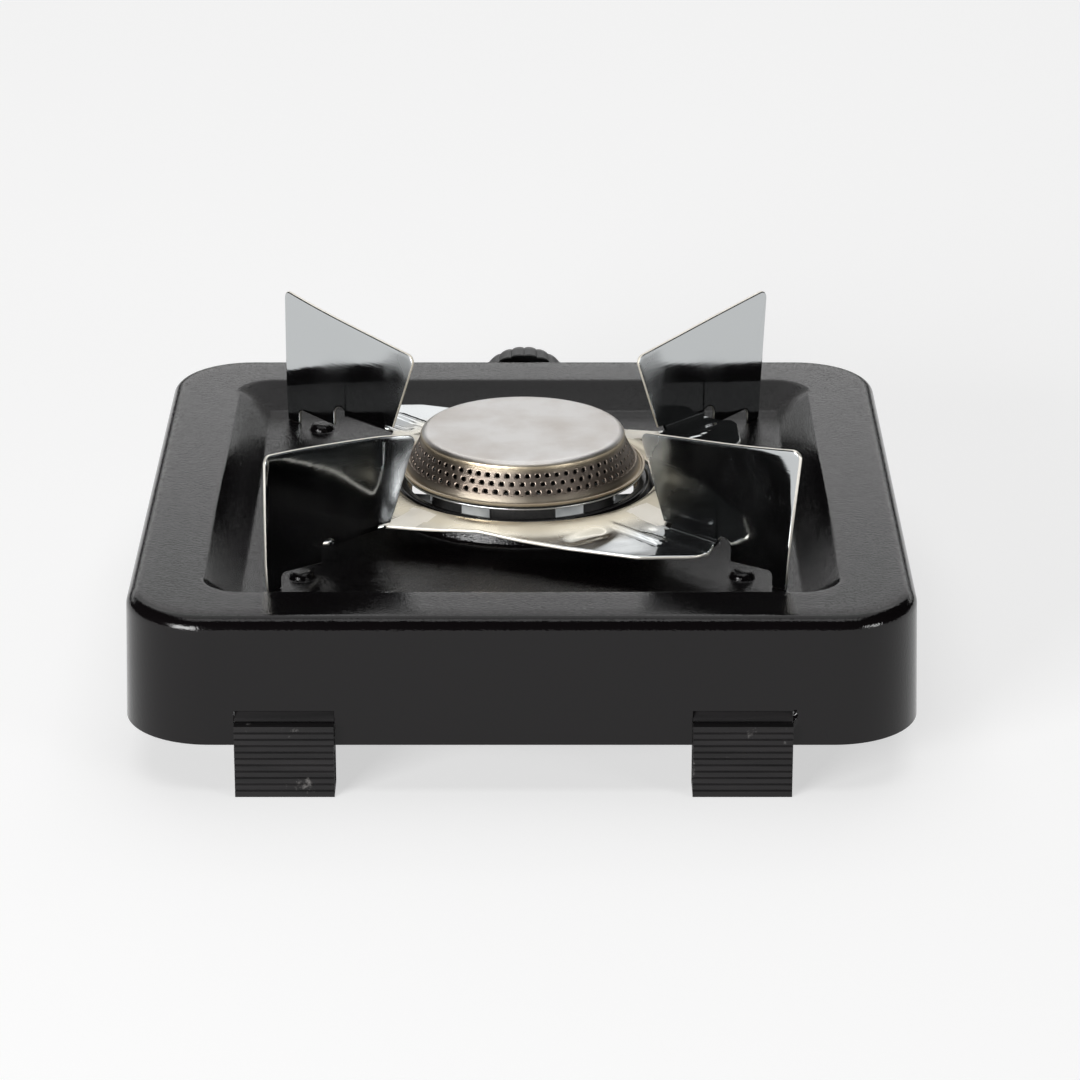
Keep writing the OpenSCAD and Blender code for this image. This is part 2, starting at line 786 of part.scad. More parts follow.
module tube_elbow(r) {
  translate([0, elbow_r, cup_z]) rotate([0, 90, 180])
    rotate_extrude(angle = 90) translate([elbow_r, 0]) circle(r);
}

module tube_body(grow) {
  reducer_y = barrel_y - contact - inlet_l - reducer_l;
  tube_elbow(tube_r + grow);
  translate([0, 0, cup_z]) cylinder(h = cup_base_t, r = tube_r + grow);
  on_tap() {
    translate([0, 0, elbow_r]) cylinder(h = reducer_y - elbow_r, r = tube_r + grow);
    translate([0, 0, reducer_y]) cylinder(h = reducer_l, r1 = tube_r + grow, r2 = inlet_r + grow);
    translate([0, 0, reducer_y + reducer_l]) cylinder(h = inlet_l, r = inlet_r + grow);
  }
}

module air_windows() {
  for (k = [0:windows - 1])
    on_tap() rotate(k * 360 / windows - window_a / 2) translate([0, 0, window_y])
      rotate_extrude(angle = window_a)
        translate([inlet_r - 2 * tube_t, 0]) square([4 * tube_t, window_l]);
}

module mixing_tube() {
  color(zinc) difference() {
    tube_body(0);
    tube_body(-tube_t);
    translate([0, 0, cup_z + cup_base_t - eps]) cylinder(h = 1, r = tube_r);
    on_tap() translate([0, 0, barrel_y - contact - eps]) cylinder(h = 1, r = inlet_r);
    air_windows();
  }
}

module air_shutter() {
  in_r = inlet_r + shutter_gap;
  lever = [5, 1, 7];
  color(brass) difference() {
    on_tap() translate([0, 0, window_y + window_l / 2 - shutter_l / 2]) {
      difference() {
        cylinder(h = shutter_l, r = in_r + shutter_t);
        translate([0, 0, -1]) cylinder(h = shutter_l + 2, r = in_r);
      }
      translate([-lever.x / 2, in_r + shutter_t / 2, 0]) cube([lever.x, lever.z, lever.y]);
    }
    air_windows();
  }
}

// ---- Gas tap ----

module tap_flange(t, w, h) {
  intersection() {
    translate([-w / 2, -h / 2, 0]) cube([w, h, t]);
    cylinder(h = t, r = w / 2);
  }
}

module tap_screw_places() {
  for (side = [-1, 1]) translate([side * tap_screw_gap / 2, 0, 0]) children();
}

module tap_screw_bores(y, length, r) {
  tap_screw_places() translate([0, 0, y - 1]) cylinder(h = length + 2, r = r);
}

module valve_body() {
  inlet_l = barrel_r + 6;
  color(brass) difference() {
    union() {
      on_tap() {
        translate([0, 0, nose_y]) cylinder(h = nose_l + eps, r = nose_r);
        translate([0, 0, barrel_y]) cylinder(h = barrel_l + eps, r = barrel_r);
        translate([0, 0, flange_y - flange_t]) tap_flange(flange_t, flange_w, flange_h);
      }
      translate([0, pipe_y, tap_z]) rotate([0, 90, 0]) cylinder(h = inlet_l, r = pipe_r + 1.5);
    }
    on_tap() {
      translate([0, 0, plug_y - contact])
        cylinder(h = plug_l + contact, r1 = plug_tip_r + plug_gap, r2 = plug_r + plug_gap);
      translate([0, 0, plug_top_y]) cylinder(h = flange_t + 1, r = cavity_r);
      translate([0, 0, nose_y - 1]) cylinder(h = jet_thread_l + 1.5, r = jet_thread_r + screw_fit);
      translate([0, 0, nose_y]) cylinder(h = plug_y - nose_y, r = 1.5);
      tap_screw_bores(flange_y - flange_t, flange_t, screw_r + screw_fit);
    }
    translate([0, pipe_y, tap_z]) rotate([0, 90, 0]) cylinder(h = inlet_l + 1, r = 1.2);
    translate([barrel_r + 1, pipe_y, tap_z]) rotate([0, 90, 0])
      cylinder(h = inlet_l, r = pipe_r + screw_fit);
  }
}

blade_w = 7.2;
blade_t = 2;
blade_in = 4; // how far the blade sits in the plug's slot
slot_gap = 0.06;

// The plug has a full port a quarter turn from off, and a small simmer port beyond it
module valve_plug() {
  slot_deep = blade_in + push_in + 1;
  color(brass) on_tap() difference() {
    translate([0, 0, plug_y]) cylinder(h = plug_l - contact, r1 = plug_tip_r, r2 = plug_r);
    translate([0, 0, plug_y - 1]) cylinder(h = pipe_y - plug_y + 1.5, r = 1.5);
    translate([0, 0, pipe_y]) rotate([90, 0, 0]) cylinder(h = 2 * plug_r, r = 1.2);
    translate([0, 0, pipe_y]) rotate([0, -90, 0]) cylinder(h = 2 * plug_r, r = 0.5);
    translate([-blade_w / 2 - slot_gap, -blade_t / 2 - slot_gap, plug_top_y - slot_deep])
      cube([blade_w + 2 * slot_gap, blade_t + 2 * slot_gap, slot_deep + 1]);
  }
}

spring_r = spindle_r + spring_wire / 2 + 0.7;
spring_y = plug_top_y + contact;
spring_l = spindle_collar_y - contact - spring_y;
spring_sides = 8;
spring_steps = 16; // rings in each coil

function spring_ring(i) =
  let (n = spring_steps * spring_coils, a = 360 * i / spring_steps)
  let (rise = spring_y + spring_wire / 2 + (spring_l - spring_wire) * i / n)
  [for (k = [0:spring_sides - 1])
    let (b = 360 * k / spring_sides, r = spring_r + spring_wire / 2 * cos(b))
    [r * cos(a), r * sin(a), rise + spring_wire / 2 * sin(b)]];

module valve_spring() {
  rings = spring_steps * spring_coils;
  points = [for (i = [0:rings]) each spring_ring(i)];
  around = [
    for (i = [0:rings - 1], k = [0:spring_sides - 1])
      let (a = i * spring_sides, b = (k + 1) % spring_sides)
      [a + k, a + spring_sides + k, a + spring_sides + b, a + b]
  ];
  first = [for (k = [0:spring_sides - 1]) k];
  last = [for (k = [spring_sides - 1:-1:0]) rings * spring_sides + k];
  color(zinc) on_tap() polyhedron(points, concat([first], around, [last]));
}

module valve_bonnet() {
  color(brass) on_tap() difference() {
    translate([0, 0, flange_y]) union() {
      tap_flange(bonnet_t, flange_w, flange_h);
      cylinder(h = bonnet_l, r = bonnet_r);
    }
    translate([0, 0, flange_y - 1]) cylinder(h = bonnet_l - bonnet_end_t + 1, r = cavity_r);
    translate([0, 0, cavity_y - 1]) cylinder(h = bonnet_end_t + 2, r = spindle_r + spindle_gap);
    tap_screw_bores(flange_y, bonnet_t, screw_r + screw_clearance);
  }
}

module valve_bracket() {
  half_w = flange_w / 2 + 3;
  right = nozzle_x + nozzle_hex / 2 + bracket_margin;
  low = tap_z - flange_h / 2 - 4;
  top = rim_z - body_t;
  flange_in = rim_w - bracket_set - tray_bend_r;
  color(zinc) difference() {
    union() {
      translate([-half_w, bracket_y - bracket_t, low])
        cube([half_w + right, bracket_t, top - low]);
      translate([-half_w, bracket_y - flange_in, top - bracket_t])
        cube([half_w + right, flange_in, bracket_t]);
    }
    on_tap() {
      translate([0, 0, bracket_y - 2 * bracket_t])
        cylinder(h = 3 * bracket_t, r = bonnet_r + screw_clearance);
      tap_screw_bores(bracket_y - bracket_t, bracket_t, screw_r + screw_clearance);
      translate([nozzle_x, 0, bracket_y - 2 * bracket_t])
        cylinder(h = 3 * bracket_t, r = shank_r + screw_clearance);
    }
  }
}

module valve_screws() {
  color(zinc) on_tap() tap_screw_places() translate([0, 0, bracket_y]) rotate([180, 0, 0])
    screw(bracket_t + bonnet_t + flange_t);
}

module jet() {
  tip_l = jet_l - jet_hex_l;
  color(brass) on_tap() difference() {
    union() {
      translate([0, 0, nose_y - jet_hex_l]) cylinder(h = jet_hex_l, d = jet_hex / cos(30), $fn = 6);
      translate([0, 0, nose_y - jet_l]) cylinder(h = tip_l, r1 = 2, r2 = 3.2);
      translate([0, 0, nose_y - eps]) cylinder(h = jet_thread_l + eps, r = jet_thread_r);
    }
    translate([0, 0, nose_y - jet_l + 1]) cylinder(h = jet_l + jet_thread_l, r = 1.5);
    translate([0, 0, nose_y - jet_l - 1]) cylinder(h = 3, r = orifice_r);
  }
}

// ---- Spindle and knob ----

hub_r = 6.5;
hub_deep = 3; // how far the hub stays behind the knob's edge
flat_cut = 0.8; // depth of the flat on the spindle
spindle_end_y = knob_y + knob_l - 5;

module spindle_rod(y, length, grow) {
  difference() {
    translate([0, 0, y]) cylinder(h = length, r = spindle_r + grow);
    translate([-spindle_r - 1, spindle_r - flat_cut + grow, knob_y - 2])
      cube([2 * spindle_r + 2, spindle_r, knob_l + 2]);
  }
}

module spindle() {
  blade_y = plug_top_y - blade_in;
  rod_y = plug_top_y + push_in + 0.4;
  color(zinc) on_tap() {
    spindle_rod(rod_y, spindle_end_y - rod_y, 0);
    translate([0, 0, spindle_collar_y]) cylinder(h = collar_t, r = spindle_collar_r);
    translate([0, 0, blade_y]) intersection() {
      translate([-blade_w / 2, -blade_t / 2, 0]) cube([blade_w, blade_t, rod_y - blade_y + 1]);
      cylinder(h = rod_y - blade_y + 1, r = blade_w / 2);
    }
  }
}

module spindle_seal() {
  color(plastic) on_tap() translate([0, 0, spindle_collar_y + collar_t]) difference() {
    cylinder(h = seal_t, r = spindle_collar_r);
    translate([0, 0, -1]) cylinder(h = seal_t + 2, r = spindle_r);
  }
}

// Outer face of the knob, from its open edge to the middle of its front
pointer_w = 2;
pointer_h = 0.4;
pointer_out = 6; // from the knob's rim to the pointer
pointer_in = 3; // from the knob's axis to the pointer
knob_path = [
  [knob_r, knob_y, 0],
  [knob_r - 0.6, knob_y + knob_l - 4, 4],
  [knob_r - 5, knob_y + knob_l, 3],
  [0, knob_y + knob_l, 0]
];

module knob_flutes() {
  cutter_r = PI * knob_r / flutes * 0.7;
  for (k = [0:flutes - 1]) rotate(k * 360 / flutes)
    translate([knob_r + cutter_r - flute_depth, 0, knob_y - 1])
      cylinder(h = knob_l - 2, r = cutter_r);
}

module knob() {
  color(plastic) on_tap() difference() {
    union() {
      difference() {
        rotate_extrude() polygon(sheet(knob_path, knob_t));
        knob_flutes();
      }
      translate([0, 0, knob_y + hub_deep]) cylinder(h = knob_l - hub_deep - knob_t / 2, r = hub_r);
      translate([-pointer_w / 2, pointer_out - knob_r, knob_y + knob_l - knob_t])
        cube([pointer_w, knob_r - pointer_out - pointer_in, knob_t + pointer_h]);
    }
    spindle_rod(knob_y - 1, spindle_end_y - knob_y + 1 + contact, screw_fit);
  }
}

module knob_clip() {
  color(zinc) on_tap() translate([0, 0, knob_y + hub_deep + 1]) rotate(30)
    rotate_extrude(angle = 300) translate([hub_r, 0]) square([0.6, 3]);
}

// ---- Gas inlet ----

module nozzle_hexagon(y, length) {
  translate([nozzle_x, 0, y]) cylinder(h = length, d = nozzle_hex / cos(30), $fn = 6);
}

module hose_nozzle() {
  land_y = wall_y + 2;
  barbs_y = land_y + nozzle_land;
  color(brass) on_tap() difference() {
    union() {
      nozzle_hexagon(bracket_y, nozzle_hex_l);
      translate([nozzle_x, 0, shank_y]) cylinder(h = bracket_y - shank_y + eps, r = shank_r);
      translate([nozzle_x, 0, bracket_y]) cylinder(h = land_y - bracket_y, r = shank_r + 0.4);
      translate([nozzle_x, 0, land_y - eps]) cylinder(h = nozzle_land + eps, r = nozzle_r);
      for (k = [0:barbs - 1]) translate([nozzle_x, 0, barbs_y + k * barb_l])
        cylinder(h = barb_l, r1 = nozzle_r, r2 = nozzle_r - 0.9);
    }
    translate([nozzle_x, 0, shank_y - 1])
      cylinder(h = barbs_y + barbs * barb_l - shank_y + 2, r = nozzle_r - 2.25);
    translate([nozzle_x, 0, shank_y - 1]) cylinder(h = shank_in + 1, r = pipe_r + screw_fit);
  }
}

module nozzle_nut() {
  color(brass) on_tap() difference() {
    nozzle_hexagon(bracket_y - bracket_t - nut_l, nut_l);
    translate([nozzle_x, 0, bracket_y - bracket_t - nut_l - 1])
      cylinder(h = nut_l + 2, r = shank_r + screw_fit);
  }
}

module gas_pipe_solid(r) {
  bend_x = nozzle_x - pipe_bend_r;
  start_x = barrel_r + 1;
  translate([start_x, pipe_y, tap_z]) rotate([0, 90, 0]) cylinder(h = bend_x - start_x, r = r);
  translate([bend_x, pipe_y + pipe_bend_r, tap_z]) rotate(-90)
    rotate_extrude(angle = 90) translate([pipe_bend_r, 0]) circle(r);
  translate([nozzle_x, pipe_y + pipe_bend_r, tap_z]) rotate([-90, 0, 0])
    cylinder(h = shank_y + shank_in - contact - pipe_y - pipe_bend_r, r = r);
}

module gas_pipe() {
  color(copper) difference() {
    gas_pipe_solid(pipe_r);
    gas_pipe_solid(pipe_r - 0.8);
  }
}

body_shell();
pan_support();
burner_cap();
burner_cup();
burner_seat();
burner_strap();
strap_screws();
mixing_tube();
air_shutter();
jet();
valve_body();
valve_plug();
valve_spring();
valve_bonnet();
valve_bracket();
valve_screws();
spindle();
spindle_seal();
knob();
knob_clip();
hose_nozzle();
nozzle_nut();
gas_pipe();
foot(foot_left_x);  // foot_front_left
foot(foot_right_x);  // foot_front_right
rear_foot(foot_left_x);  // foot_rear_left
rear_foot(foot_right_x);  // foot_rear_right
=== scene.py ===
"""Looks for a single-burner gas stove: enamelled body, chromed pan support, stainless burner
cap, black plastic feet and knob, brass gas fittings. Shapes are in millimetres, in the frame of
the CAD model: z = 0 is the table, the burner's axis is the Z axis, +Y is the tap's side.
Materials, lights and the camera are in metres."""

import json

import bmesh
import bpy
import numpy as np
from bpy.props import FloatProperty, FloatVectorProperty, IntProperty, PointerProperty
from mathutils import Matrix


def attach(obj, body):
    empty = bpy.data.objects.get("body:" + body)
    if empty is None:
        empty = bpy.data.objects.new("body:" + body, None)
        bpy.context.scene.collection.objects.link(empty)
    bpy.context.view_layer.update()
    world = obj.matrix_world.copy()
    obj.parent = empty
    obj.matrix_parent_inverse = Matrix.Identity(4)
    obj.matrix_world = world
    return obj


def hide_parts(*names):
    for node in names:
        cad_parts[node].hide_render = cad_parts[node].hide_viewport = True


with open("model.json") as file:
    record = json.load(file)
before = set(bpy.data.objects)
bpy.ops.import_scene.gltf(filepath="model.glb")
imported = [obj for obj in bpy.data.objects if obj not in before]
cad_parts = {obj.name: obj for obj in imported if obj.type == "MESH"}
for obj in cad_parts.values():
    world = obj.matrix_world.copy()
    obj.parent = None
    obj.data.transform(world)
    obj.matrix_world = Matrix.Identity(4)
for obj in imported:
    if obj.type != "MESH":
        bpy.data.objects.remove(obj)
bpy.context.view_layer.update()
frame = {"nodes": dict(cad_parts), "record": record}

bl_info = {
    "name": "Gas stove looks",
    "version": (1, 0, 0),
    "blender": (4, 5, 0),
    "location": "3D View > Sidebar > Gas stove",
    "description": "Dresses the gas stove: one button for each group of pieces",
    "category": "Object",
}

MM = 0.001

# The body, as in the part's source
CORE = np.array([108.0, 109.0])  # where the centre of an upright corner of the body stands
TRAY = np.array([97.5, 98.5])  # and of a corner of the tray, which is tighter
CORNER_R = 31.0  # of an upright corner, at the foot of the wall
WALL_LEAN = 1.2  # how far the wall leans in on its way up
WALL_FOOT = 18.0
BROW_R = 5.0
RIM_Z = 64.5
FLOOR_Z = 56.0  # the tray's floor
COLLAR_FOOT = 52.8  # radius at which the floor ends and the collar's fillet starts
BOSS_AT = 110.7  # from the burner's axis, on the diagonals
FOOT_X = (-82.0, 76.5)  # middles of the feet, and of the slots that their hooks go through
SLOT_HALF = 17.25
SLOT_Z = (26.4, 30.5)
TAP_Z = 42.0  # height of the tap's axis and of the nozzle's
NOZZLE_X = 60.0
BACK_HOLES = ((0.0, 7.0), (NOZZLE_X, 7.5))  # place along X and radius
SEAT_Z = 69.4  # top of the burner's seat, on which the cap stands


# ---- Colours and node trees ----

def srgb(code):
    """Linear RGBA of an sRGB colour such as "#c8c2b8": v / 12.92 below 0.04045, else
    ((v + 0.055) / 1.055) ** 2.4."""
    v = np.array([int(code[i:i + 2], 16) for i in (1, 3, 5)]) / 255
    return (*np.where(v <= 0.04045, v / 12.92, ((v + 0.055) / 1.055) ** 2.4).tolist(), 1.0)


def add(tree, kind, settings=(), links=()):
    """Adds a node: settings give its inputs or properties, links the sockets that feed it."""
    made = tree.nodes.new(kind)
    for key, value in dict(settings).items():
        if isinstance(key, str) and hasattr(made, key):
            setattr(made, key, value)
        else:
            made.inputs[key].default_value = value
    for key, source in dict(links).items():
        tree.links.new(source, made.inputs[key])
    return made


def blend(tree, kind, options, terms):
    """Adds a node whose inputs each take a value or a socket."""
    fed = {i: term for i, term in terms.items() if isinstance(term, bpy.types.NodeSocket)}
    fixed = {i: term for i, term in terms.items() if i not in fed}
    return add(tree, kind, {**options, **fixed}, fed)


def calc(tree, operation, *terms, clamp=False):
    """A step of arithmetic."""
    options = {"operation": operation, "use_clamp": clamp}
    return blend(tree, "ShaderNodeMath", options, dict(enumerate(terms))).outputs["Value"]


def mixed(tree, share, first, second, how="MIX"):
    """A share of the second colour in the first."""
    options = {"data_type": "RGBA", "blend_type": how}
    return blend(tree, "ShaderNodeMix", options, {0: share, 6: first, 7: second}).outputs[2]


def ramp(tree, factor, stops):
    """A colour ramp with stops of [place, colour]."""
    made = add(tree, "ShaderNodeValToRGB", links={"Fac": factor})
    elements = made.color_ramp.elements
    elements[0].position, elements[0].color = stops[0]
    elements[1].position, elements[1].color = stops[-1]
    for place, colour in stops[1:-1]:
        elements.new(place).color = colour
    return made.outputs["Color"]


def grey(value):
    """A grey as linear RGBA, for ramps that carry a number."""
    return (value, value, value, 1.0)


def chosen():
    """The colours and counts that are set in the panel."""
    return bpy.context.scene.stove_looks


def start(name):
    """An empty material with its shader, and Object coordinates to read patterns from."""
    material = bpy.data.materials.new(name)
    material.use_nodes = True
    tree = material.node_tree
    tree.nodes.clear()
    out = add(tree, "ShaderNodeOutputMaterial")
    shader = add(tree, "ShaderNodeBsdfPrincipled")
    tree.links.new(shader.outputs["BSDF"], out.inputs["Surface"])
    place = add(tree, "ShaderNodeTexCoord").outputs["Object"]
    return material, tree, shader, place


def noise(tree, place, scale, detail, roughness=0.5):
    """A noise pattern from 0 to 1 with scale lumps a metre."""
    settings = {"Scale": scale, "Detail": detail, "Roughness": roughness}
    return add(tree, "ShaderNodeTexNoise", settings, {"Vector": place}).outputs["Fac"]


def bumped(tree, height, strength, distance):
    """The normals of a bump whose height, times distance, is in metres."""
    return blend(tree, "ShaderNodeBump", {"Distance": distance},
                 {"Strength": strength, "Height": height}).outputs["Normal"]


def rescaled(tree, value, settings):
    """A value taken from the range From Min to From Max, 0 to 1 by default, to To Min to To Max."""
    return add(tree, "ShaderNodeMapRange", settings, {"Value": value}).outputs["Result"]


def set_shader(tree, shader, settings, links):
    """Sets the shader's constant inputs, and feeds the others."""
    for key, value in settings.items():
        shader.inputs[key].default_value = value
    for key, source in links.items():
        tree.links.new(source, shader.inputs[key])


def stretched(tree, place, scale, turn=(0, 0, 0)):
    """Coordinates multiplied by a scale on each axis, so a small one draws a pattern out."""
    return add(tree, "ShaderNodeMapping", {"Scale": scale, "Rotation": turn},
               {"Vector": place}).outputs["Vector"]


# ---- Materials ----

def vitreous_enamel():
    """Vitreous enamel, sprayed and fired on sheet steel: glass, so it is glossy and its
    highlights are crisp, but the orange peel of the fired spray, 0.7 mm across, breaks up
    their edges. In the tray, where spray settles, the peel is two and a half times as deep."""
    material, tree, shader, place = start("vitreous_enamel")
    apart = add(tree, "ShaderNodeSeparateXYZ", {}, {"Vector": place}).outputs
    low = rescaled(tree, apart["Z"], {"From Min": 0.0635, "From Max": 0.0600})
    width = calc(tree, "MAXIMUM", calc(tree, "ABSOLUTE", apart["X"]),
                 calc(tree, "ABSOLUTE", apart["Y"]))
    tray = calc(tree, "MULTIPLY", low, calc(tree, "LESS_THAN", width, 0.118))
    strength = rescaled(tree, tray, {"To Min": 0.35, "To Max": 0.9})
    peel = noise(tree, place, 1500.0, 1.0)
    dust = noise(tree, place, 25.0, 6.0)
    set_shader(tree, shader, {"Base Color": (*chosen().enamel[:3], 1.0), "IOR": 1.39},
               {"Roughness": ramp(tree, dust, [(0.35, grey(0.09)), (0.75, grey(0.13))]),
                "Normal": bumped(tree, peel, strength, 0.0002)})
    return material


def chrome_plate():
    """Bright chrome on pressed steel sheet: a mirror, with faint rolling lines and slow waves
    from pressing. From 76 to 58 mm from the burner's axis the flames have more and more hazed
    it, and turned the plate, which lies low, cream. The sheared edges, marked by the face
    attribute highlit_cut_edge, are rough, and painted a pale cream, brighter than the chrome:
    a painted highlight along them."""
    material, tree, shader, place = start("chrome_plate")
    lines = noise(tree, stretched(tree, place, (1.0, 1.0, 22.0)), 60.0, 4.0)
    height = calc(tree, "MULTIPLY_ADD", lines, 0.04, noise(tree, place, 28.0, 1.0))
    away = add(tree, "ShaderNodeVectorMath", {"operation": "LENGTH"},
               {0: stretched(tree, place, (1.0, 1.0, 0.0))}).outputs["Value"]
    near = rescaled(tree, away, {"From Min": 0.076, "From Max": 0.058})
    apart = add(tree, "ShaderNodeSeparateXYZ", {}, {"Vector": place}).outputs
    low = rescaled(tree, apart["Z"], {"From Min": 0.0685, "From Max": 0.0672})
    haze = noise(tree, place, 45.0, 6.0)
    blown = calc(tree, "MULTIPLY", near,
                 ramp(tree, haze, [(0.3, grey(0.25)), (0.65, grey(0.9))]), clamp=True)
    dull = calc(tree, "MULTIPLY_ADD", blown, 0.42,
                ramp(tree, haze, [(0.4, grey(0.05)), (0.8, grey(0.16))]))
    # cut marks the sheared edges: their added roughness is real, their pale cream colour is a
    # painted highlight
    cut = add(tree, "ShaderNodeAttribute", {"attribute_name": "highlit_cut_edge"}).outputs["Fac"]
    creamy = calc(tree, "MULTIPLY", near, low, clamp=True)
    colour = mixed(tree, creamy, (*chosen().chrome[:3], 1.0), srgb("#cfc7b4"))
    set_shader(tree, shader, {"Metallic": 1.0},
               {"Base Color": mixed(tree, cut, colour, srgb("#f1ede4")),
                "Roughness": calc(tree, "MULTIPLY_ADD", cut, 0.4, dull),
                "Normal": bumped(tree, height, 0.25, 0.0008)})
    return material


def stamped_stainless():
    """Stamped stainless steel, tumbled to a satin grain, so its highlights are soft. Its colour
    changes with height: flames have tinted its cone brown, and its lip and upper edge are
    cream, partly heat tint and partly painted highlight. Flames have also left brown clouds."""
    material, tree, shader, place = start("stamped_stainless")
    apart = add(tree, "ShaderNodeSeparateXYZ", {}, {"Vector": place}).outputs
    height = rescaled(tree, apart["Z"], {"From Min": SEAT_Z * MM, "From Max": CONE_TOP[1] * MM})
    # colour up the cap: brown heat tint on the cone; the cream at the lip and upper edge is partly
    # heat tint and partly painted highlight
    heat = ramp(tree, height, [(0.0, srgb("#8d8478")), (0.12, srgb("#cfc4b2")),
                               (0.3, srgb("#83786f")), (0.75, srgb("#8f857c")),
                               (0.93, srgb("#d9cbb0")), (1.0, (*chosen().cap[:3], 1.0))])
    cloud = noise(tree, place, 55.0, 5.0)
    brown = ramp(tree, cloud, [(0.3, srgb("#b09c86")), (0.6, srgb("#ffffff"))])
    set_shader(tree, shader, {"Metallic": 1.0},
               {"Base Color": mixed(tree, 0.35, heat, brown, "MULTIPLY"),
                "Roughness": ramp(tree, cloud, [(0.3, grey(0.34)), (0.7, grey(0.46))]),
                "Normal": bumped(tree, noise(tree, place, 1500.0, 3.0), 0.25, 0.0002)})
    return material


def stove_black():
    """Heat-proof black paint on cast aluminium: dull, with the fine grain of the casting."""
    material, tree, shader, place = start("stove_black")
    grain = noise(tree, place, 900.0, 4.0)
    set_shader(tree, shader, {"Roughness": 0.55},
               {"Base Color": ramp(tree, grain, [(0.3, srgb("#151414")), (0.8, srgb("#2b2927"))]),
                "Normal": bumped(tree, grain, 0.4, 0.0003)})
    return material


def zinc_plate():
    """Bright zinc on pressed steel: bluish grey, half matt, faintly cloudy."""
    material, tree, shader, place = start("zinc_plate")
    cloud = noise(tree, place, 120.0, 5.0)
    set_shader(tree, shader, {"Metallic": 1.0},
               {"Base Color": ramp(tree, cloud, [(0.3, srgb("#b4b8ba")), (0.7, srgb("#d8dad8"))]),
                "Roughness": ramp(tree, cloud, [(0.3, grey(0.42)), (0.7, grey(0.28))])})
    return material


def turned_brass():
    """Turned brass, left bare: yellow, with fine lathe lines and slight tarnish."""
    material, tree, shader, place = start("turned_brass")
    tarnish = noise(tree, place, 90.0, 5.0)
    lines = noise(tree, stretched(tree, place, (0.05, 6.0, 0.05)), 400.0, 2.0)
    set_shader(tree, shader, {"Metallic": 1.0, "Roughness": 0.26},
               {"Base Color": ramp(tree, tarnish,
                                   [(0.3, srgb("#9c7a3e")), (0.65, srgb("#d9b56a"))]),
                "Normal": bumped(tree, lines, 0.2, 0.0002)})
    return material


def drawn_copper():
    """Drawn copper tube: warm and smooth, browned in patches."""
    material, tree, shader, place = start("drawn_copper")
    patch = noise(tree, place, 80.0, 5.0)
    set_shader(tree, shader, {"Metallic": 1.0, "Roughness": 0.3},
               {"Base Color": ramp(tree, patch,
                                   [(0.3, srgb("#7d4a30")), (0.65, srgb("#c98a66"))])})
    return material


def nitrile_rubber():
    """Nitrile rubber: black and dull."""
    material, tree, shader, place = start("nitrile_rubber")
    grain = noise(tree, place, 600.0, 3.0)
    set_shader(tree, shader, {"Roughness": 0.75},
               {"Base Color": ramp(tree, grain, [(0.3, srgb("#121212")), (0.8, srgb("#242424"))])})
    return material


def phenolic():
    """Moulded phenolic, as heat-proof knobs are: black, with a soft sheen and a fine
    eroded texture from the mould."""
    material, tree, shader, place = start("phenolic")
    grain = noise(tree, place, 1400.0, 3.0)
    set_shader(tree, shader, {"Roughness": 0.38, "IOR": 1.6},
               {"Base Color": ramp(tree, grain, [(0.3, srgb("#161617")), (0.8, srgb("#242426"))]),
                "Normal": bumped(tree, grain, 0.25, 0.0002)})
    return material


def extruded_pvc():
    """Extruded black PVC, from which the feet are cut: dull, with lines drawn along its
    length, dust, and a few whitish scuffs."""
    material, tree, shader, place = start("extruded_pvc")
    drawn = noise(tree, stretched(tree, place, (0.6, 8.0, 8.0)), 50.0, 5.0)
    dust = ramp(tree, drawn, [(0.35, srgb("#090809")), (0.7, srgb("#171516"))])
    nick = noise(tree, stretched(tree, place, (1.0, 1.0, 0.6), (0, 0.5, 0)), 130.0, 6.0, 0.7)
    scuff = ramp(tree, nick, [(0.64, grey(0.0)), (0.74, grey(0.55))])
    set_shader(tree, shader, {"Roughness": 0.58, "IOR": 1.36},
               {"Base Color": mixed(tree, scuff, dust, srgb("#8f8c8a")),
                "Normal": bumped(tree, drawn, 0.3, 0.0003)})
    return material


FINISHES = {
    "black_enamel": vitreous_enamel, "chrome_sheet": chrome_plate,
    "stainless_cap": stamped_stainless, "black_casting": stove_black,
    "bright_zinc": zinc_plate, "brass_part": turned_brass, "copper_pipe": drawn_copper,
    "seal_rubber": nitrile_rubber, "knob_plastic": phenolic, "foot_plastic": extruded_pvc,
}
MADE = {}


def finish(slot_name):
    """The material of one of the record's slots, made once."""
    if slot_name not in MADE:
        MADE[slot_name] = FINISHES[slot_name]()
    return MADE[slot_name]


def dress(*nodes):
    """Gives CAD nodes the finish of their slots."""
    slots = {s["node"]: s["material_slot"] for s in frame["record"]["subparts"]}
    for name in nodes:
        mesh = frame["nodes"][name].data
        mesh.materials.clear()
        mesh.materials.append(finish(slots[name]))


# ---- Lines and surfaces ----

def rounded(corners, steps=8, closed=False):
    """A line through corners [x, y, radius]. Each corner is an arc that touches both of its
    sides: it starts radius * tan(turn / 2) before the corner and swings round its centre."""
    c = np.asarray(corners, float)
    out = []
    for i, (x, y, r) in enumerate(c):
        p = np.array([x, y])
        if r <= 0 or (not closed and i in (0, len(c) - 1)):
            out.append(p[None])
            continue
        a = p - c[i - 1, :2]
        b = c[(i + 1) % len(c), :2] - p
        a, b = a / np.hypot(*a), b / np.hypot(*b)
        turn = np.arctan2(a[0] * b[1] - a[1] * b[0], a @ b)
        first = p - a * r * np.tan(abs(turn) / 2)
        centre = first + np.sign(turn) * r * np.array([-a[1], a[0]])
        t = np.linspace(0, turn, steps + 1)
        d = first - centre
        out.append(centre + np.stack([d[0] * np.cos(t) - d[1] * np.sin(t),
                                      d[0] * np.sin(t) + d[1] * np.cos(t)], -1))
    return np.concatenate(out)


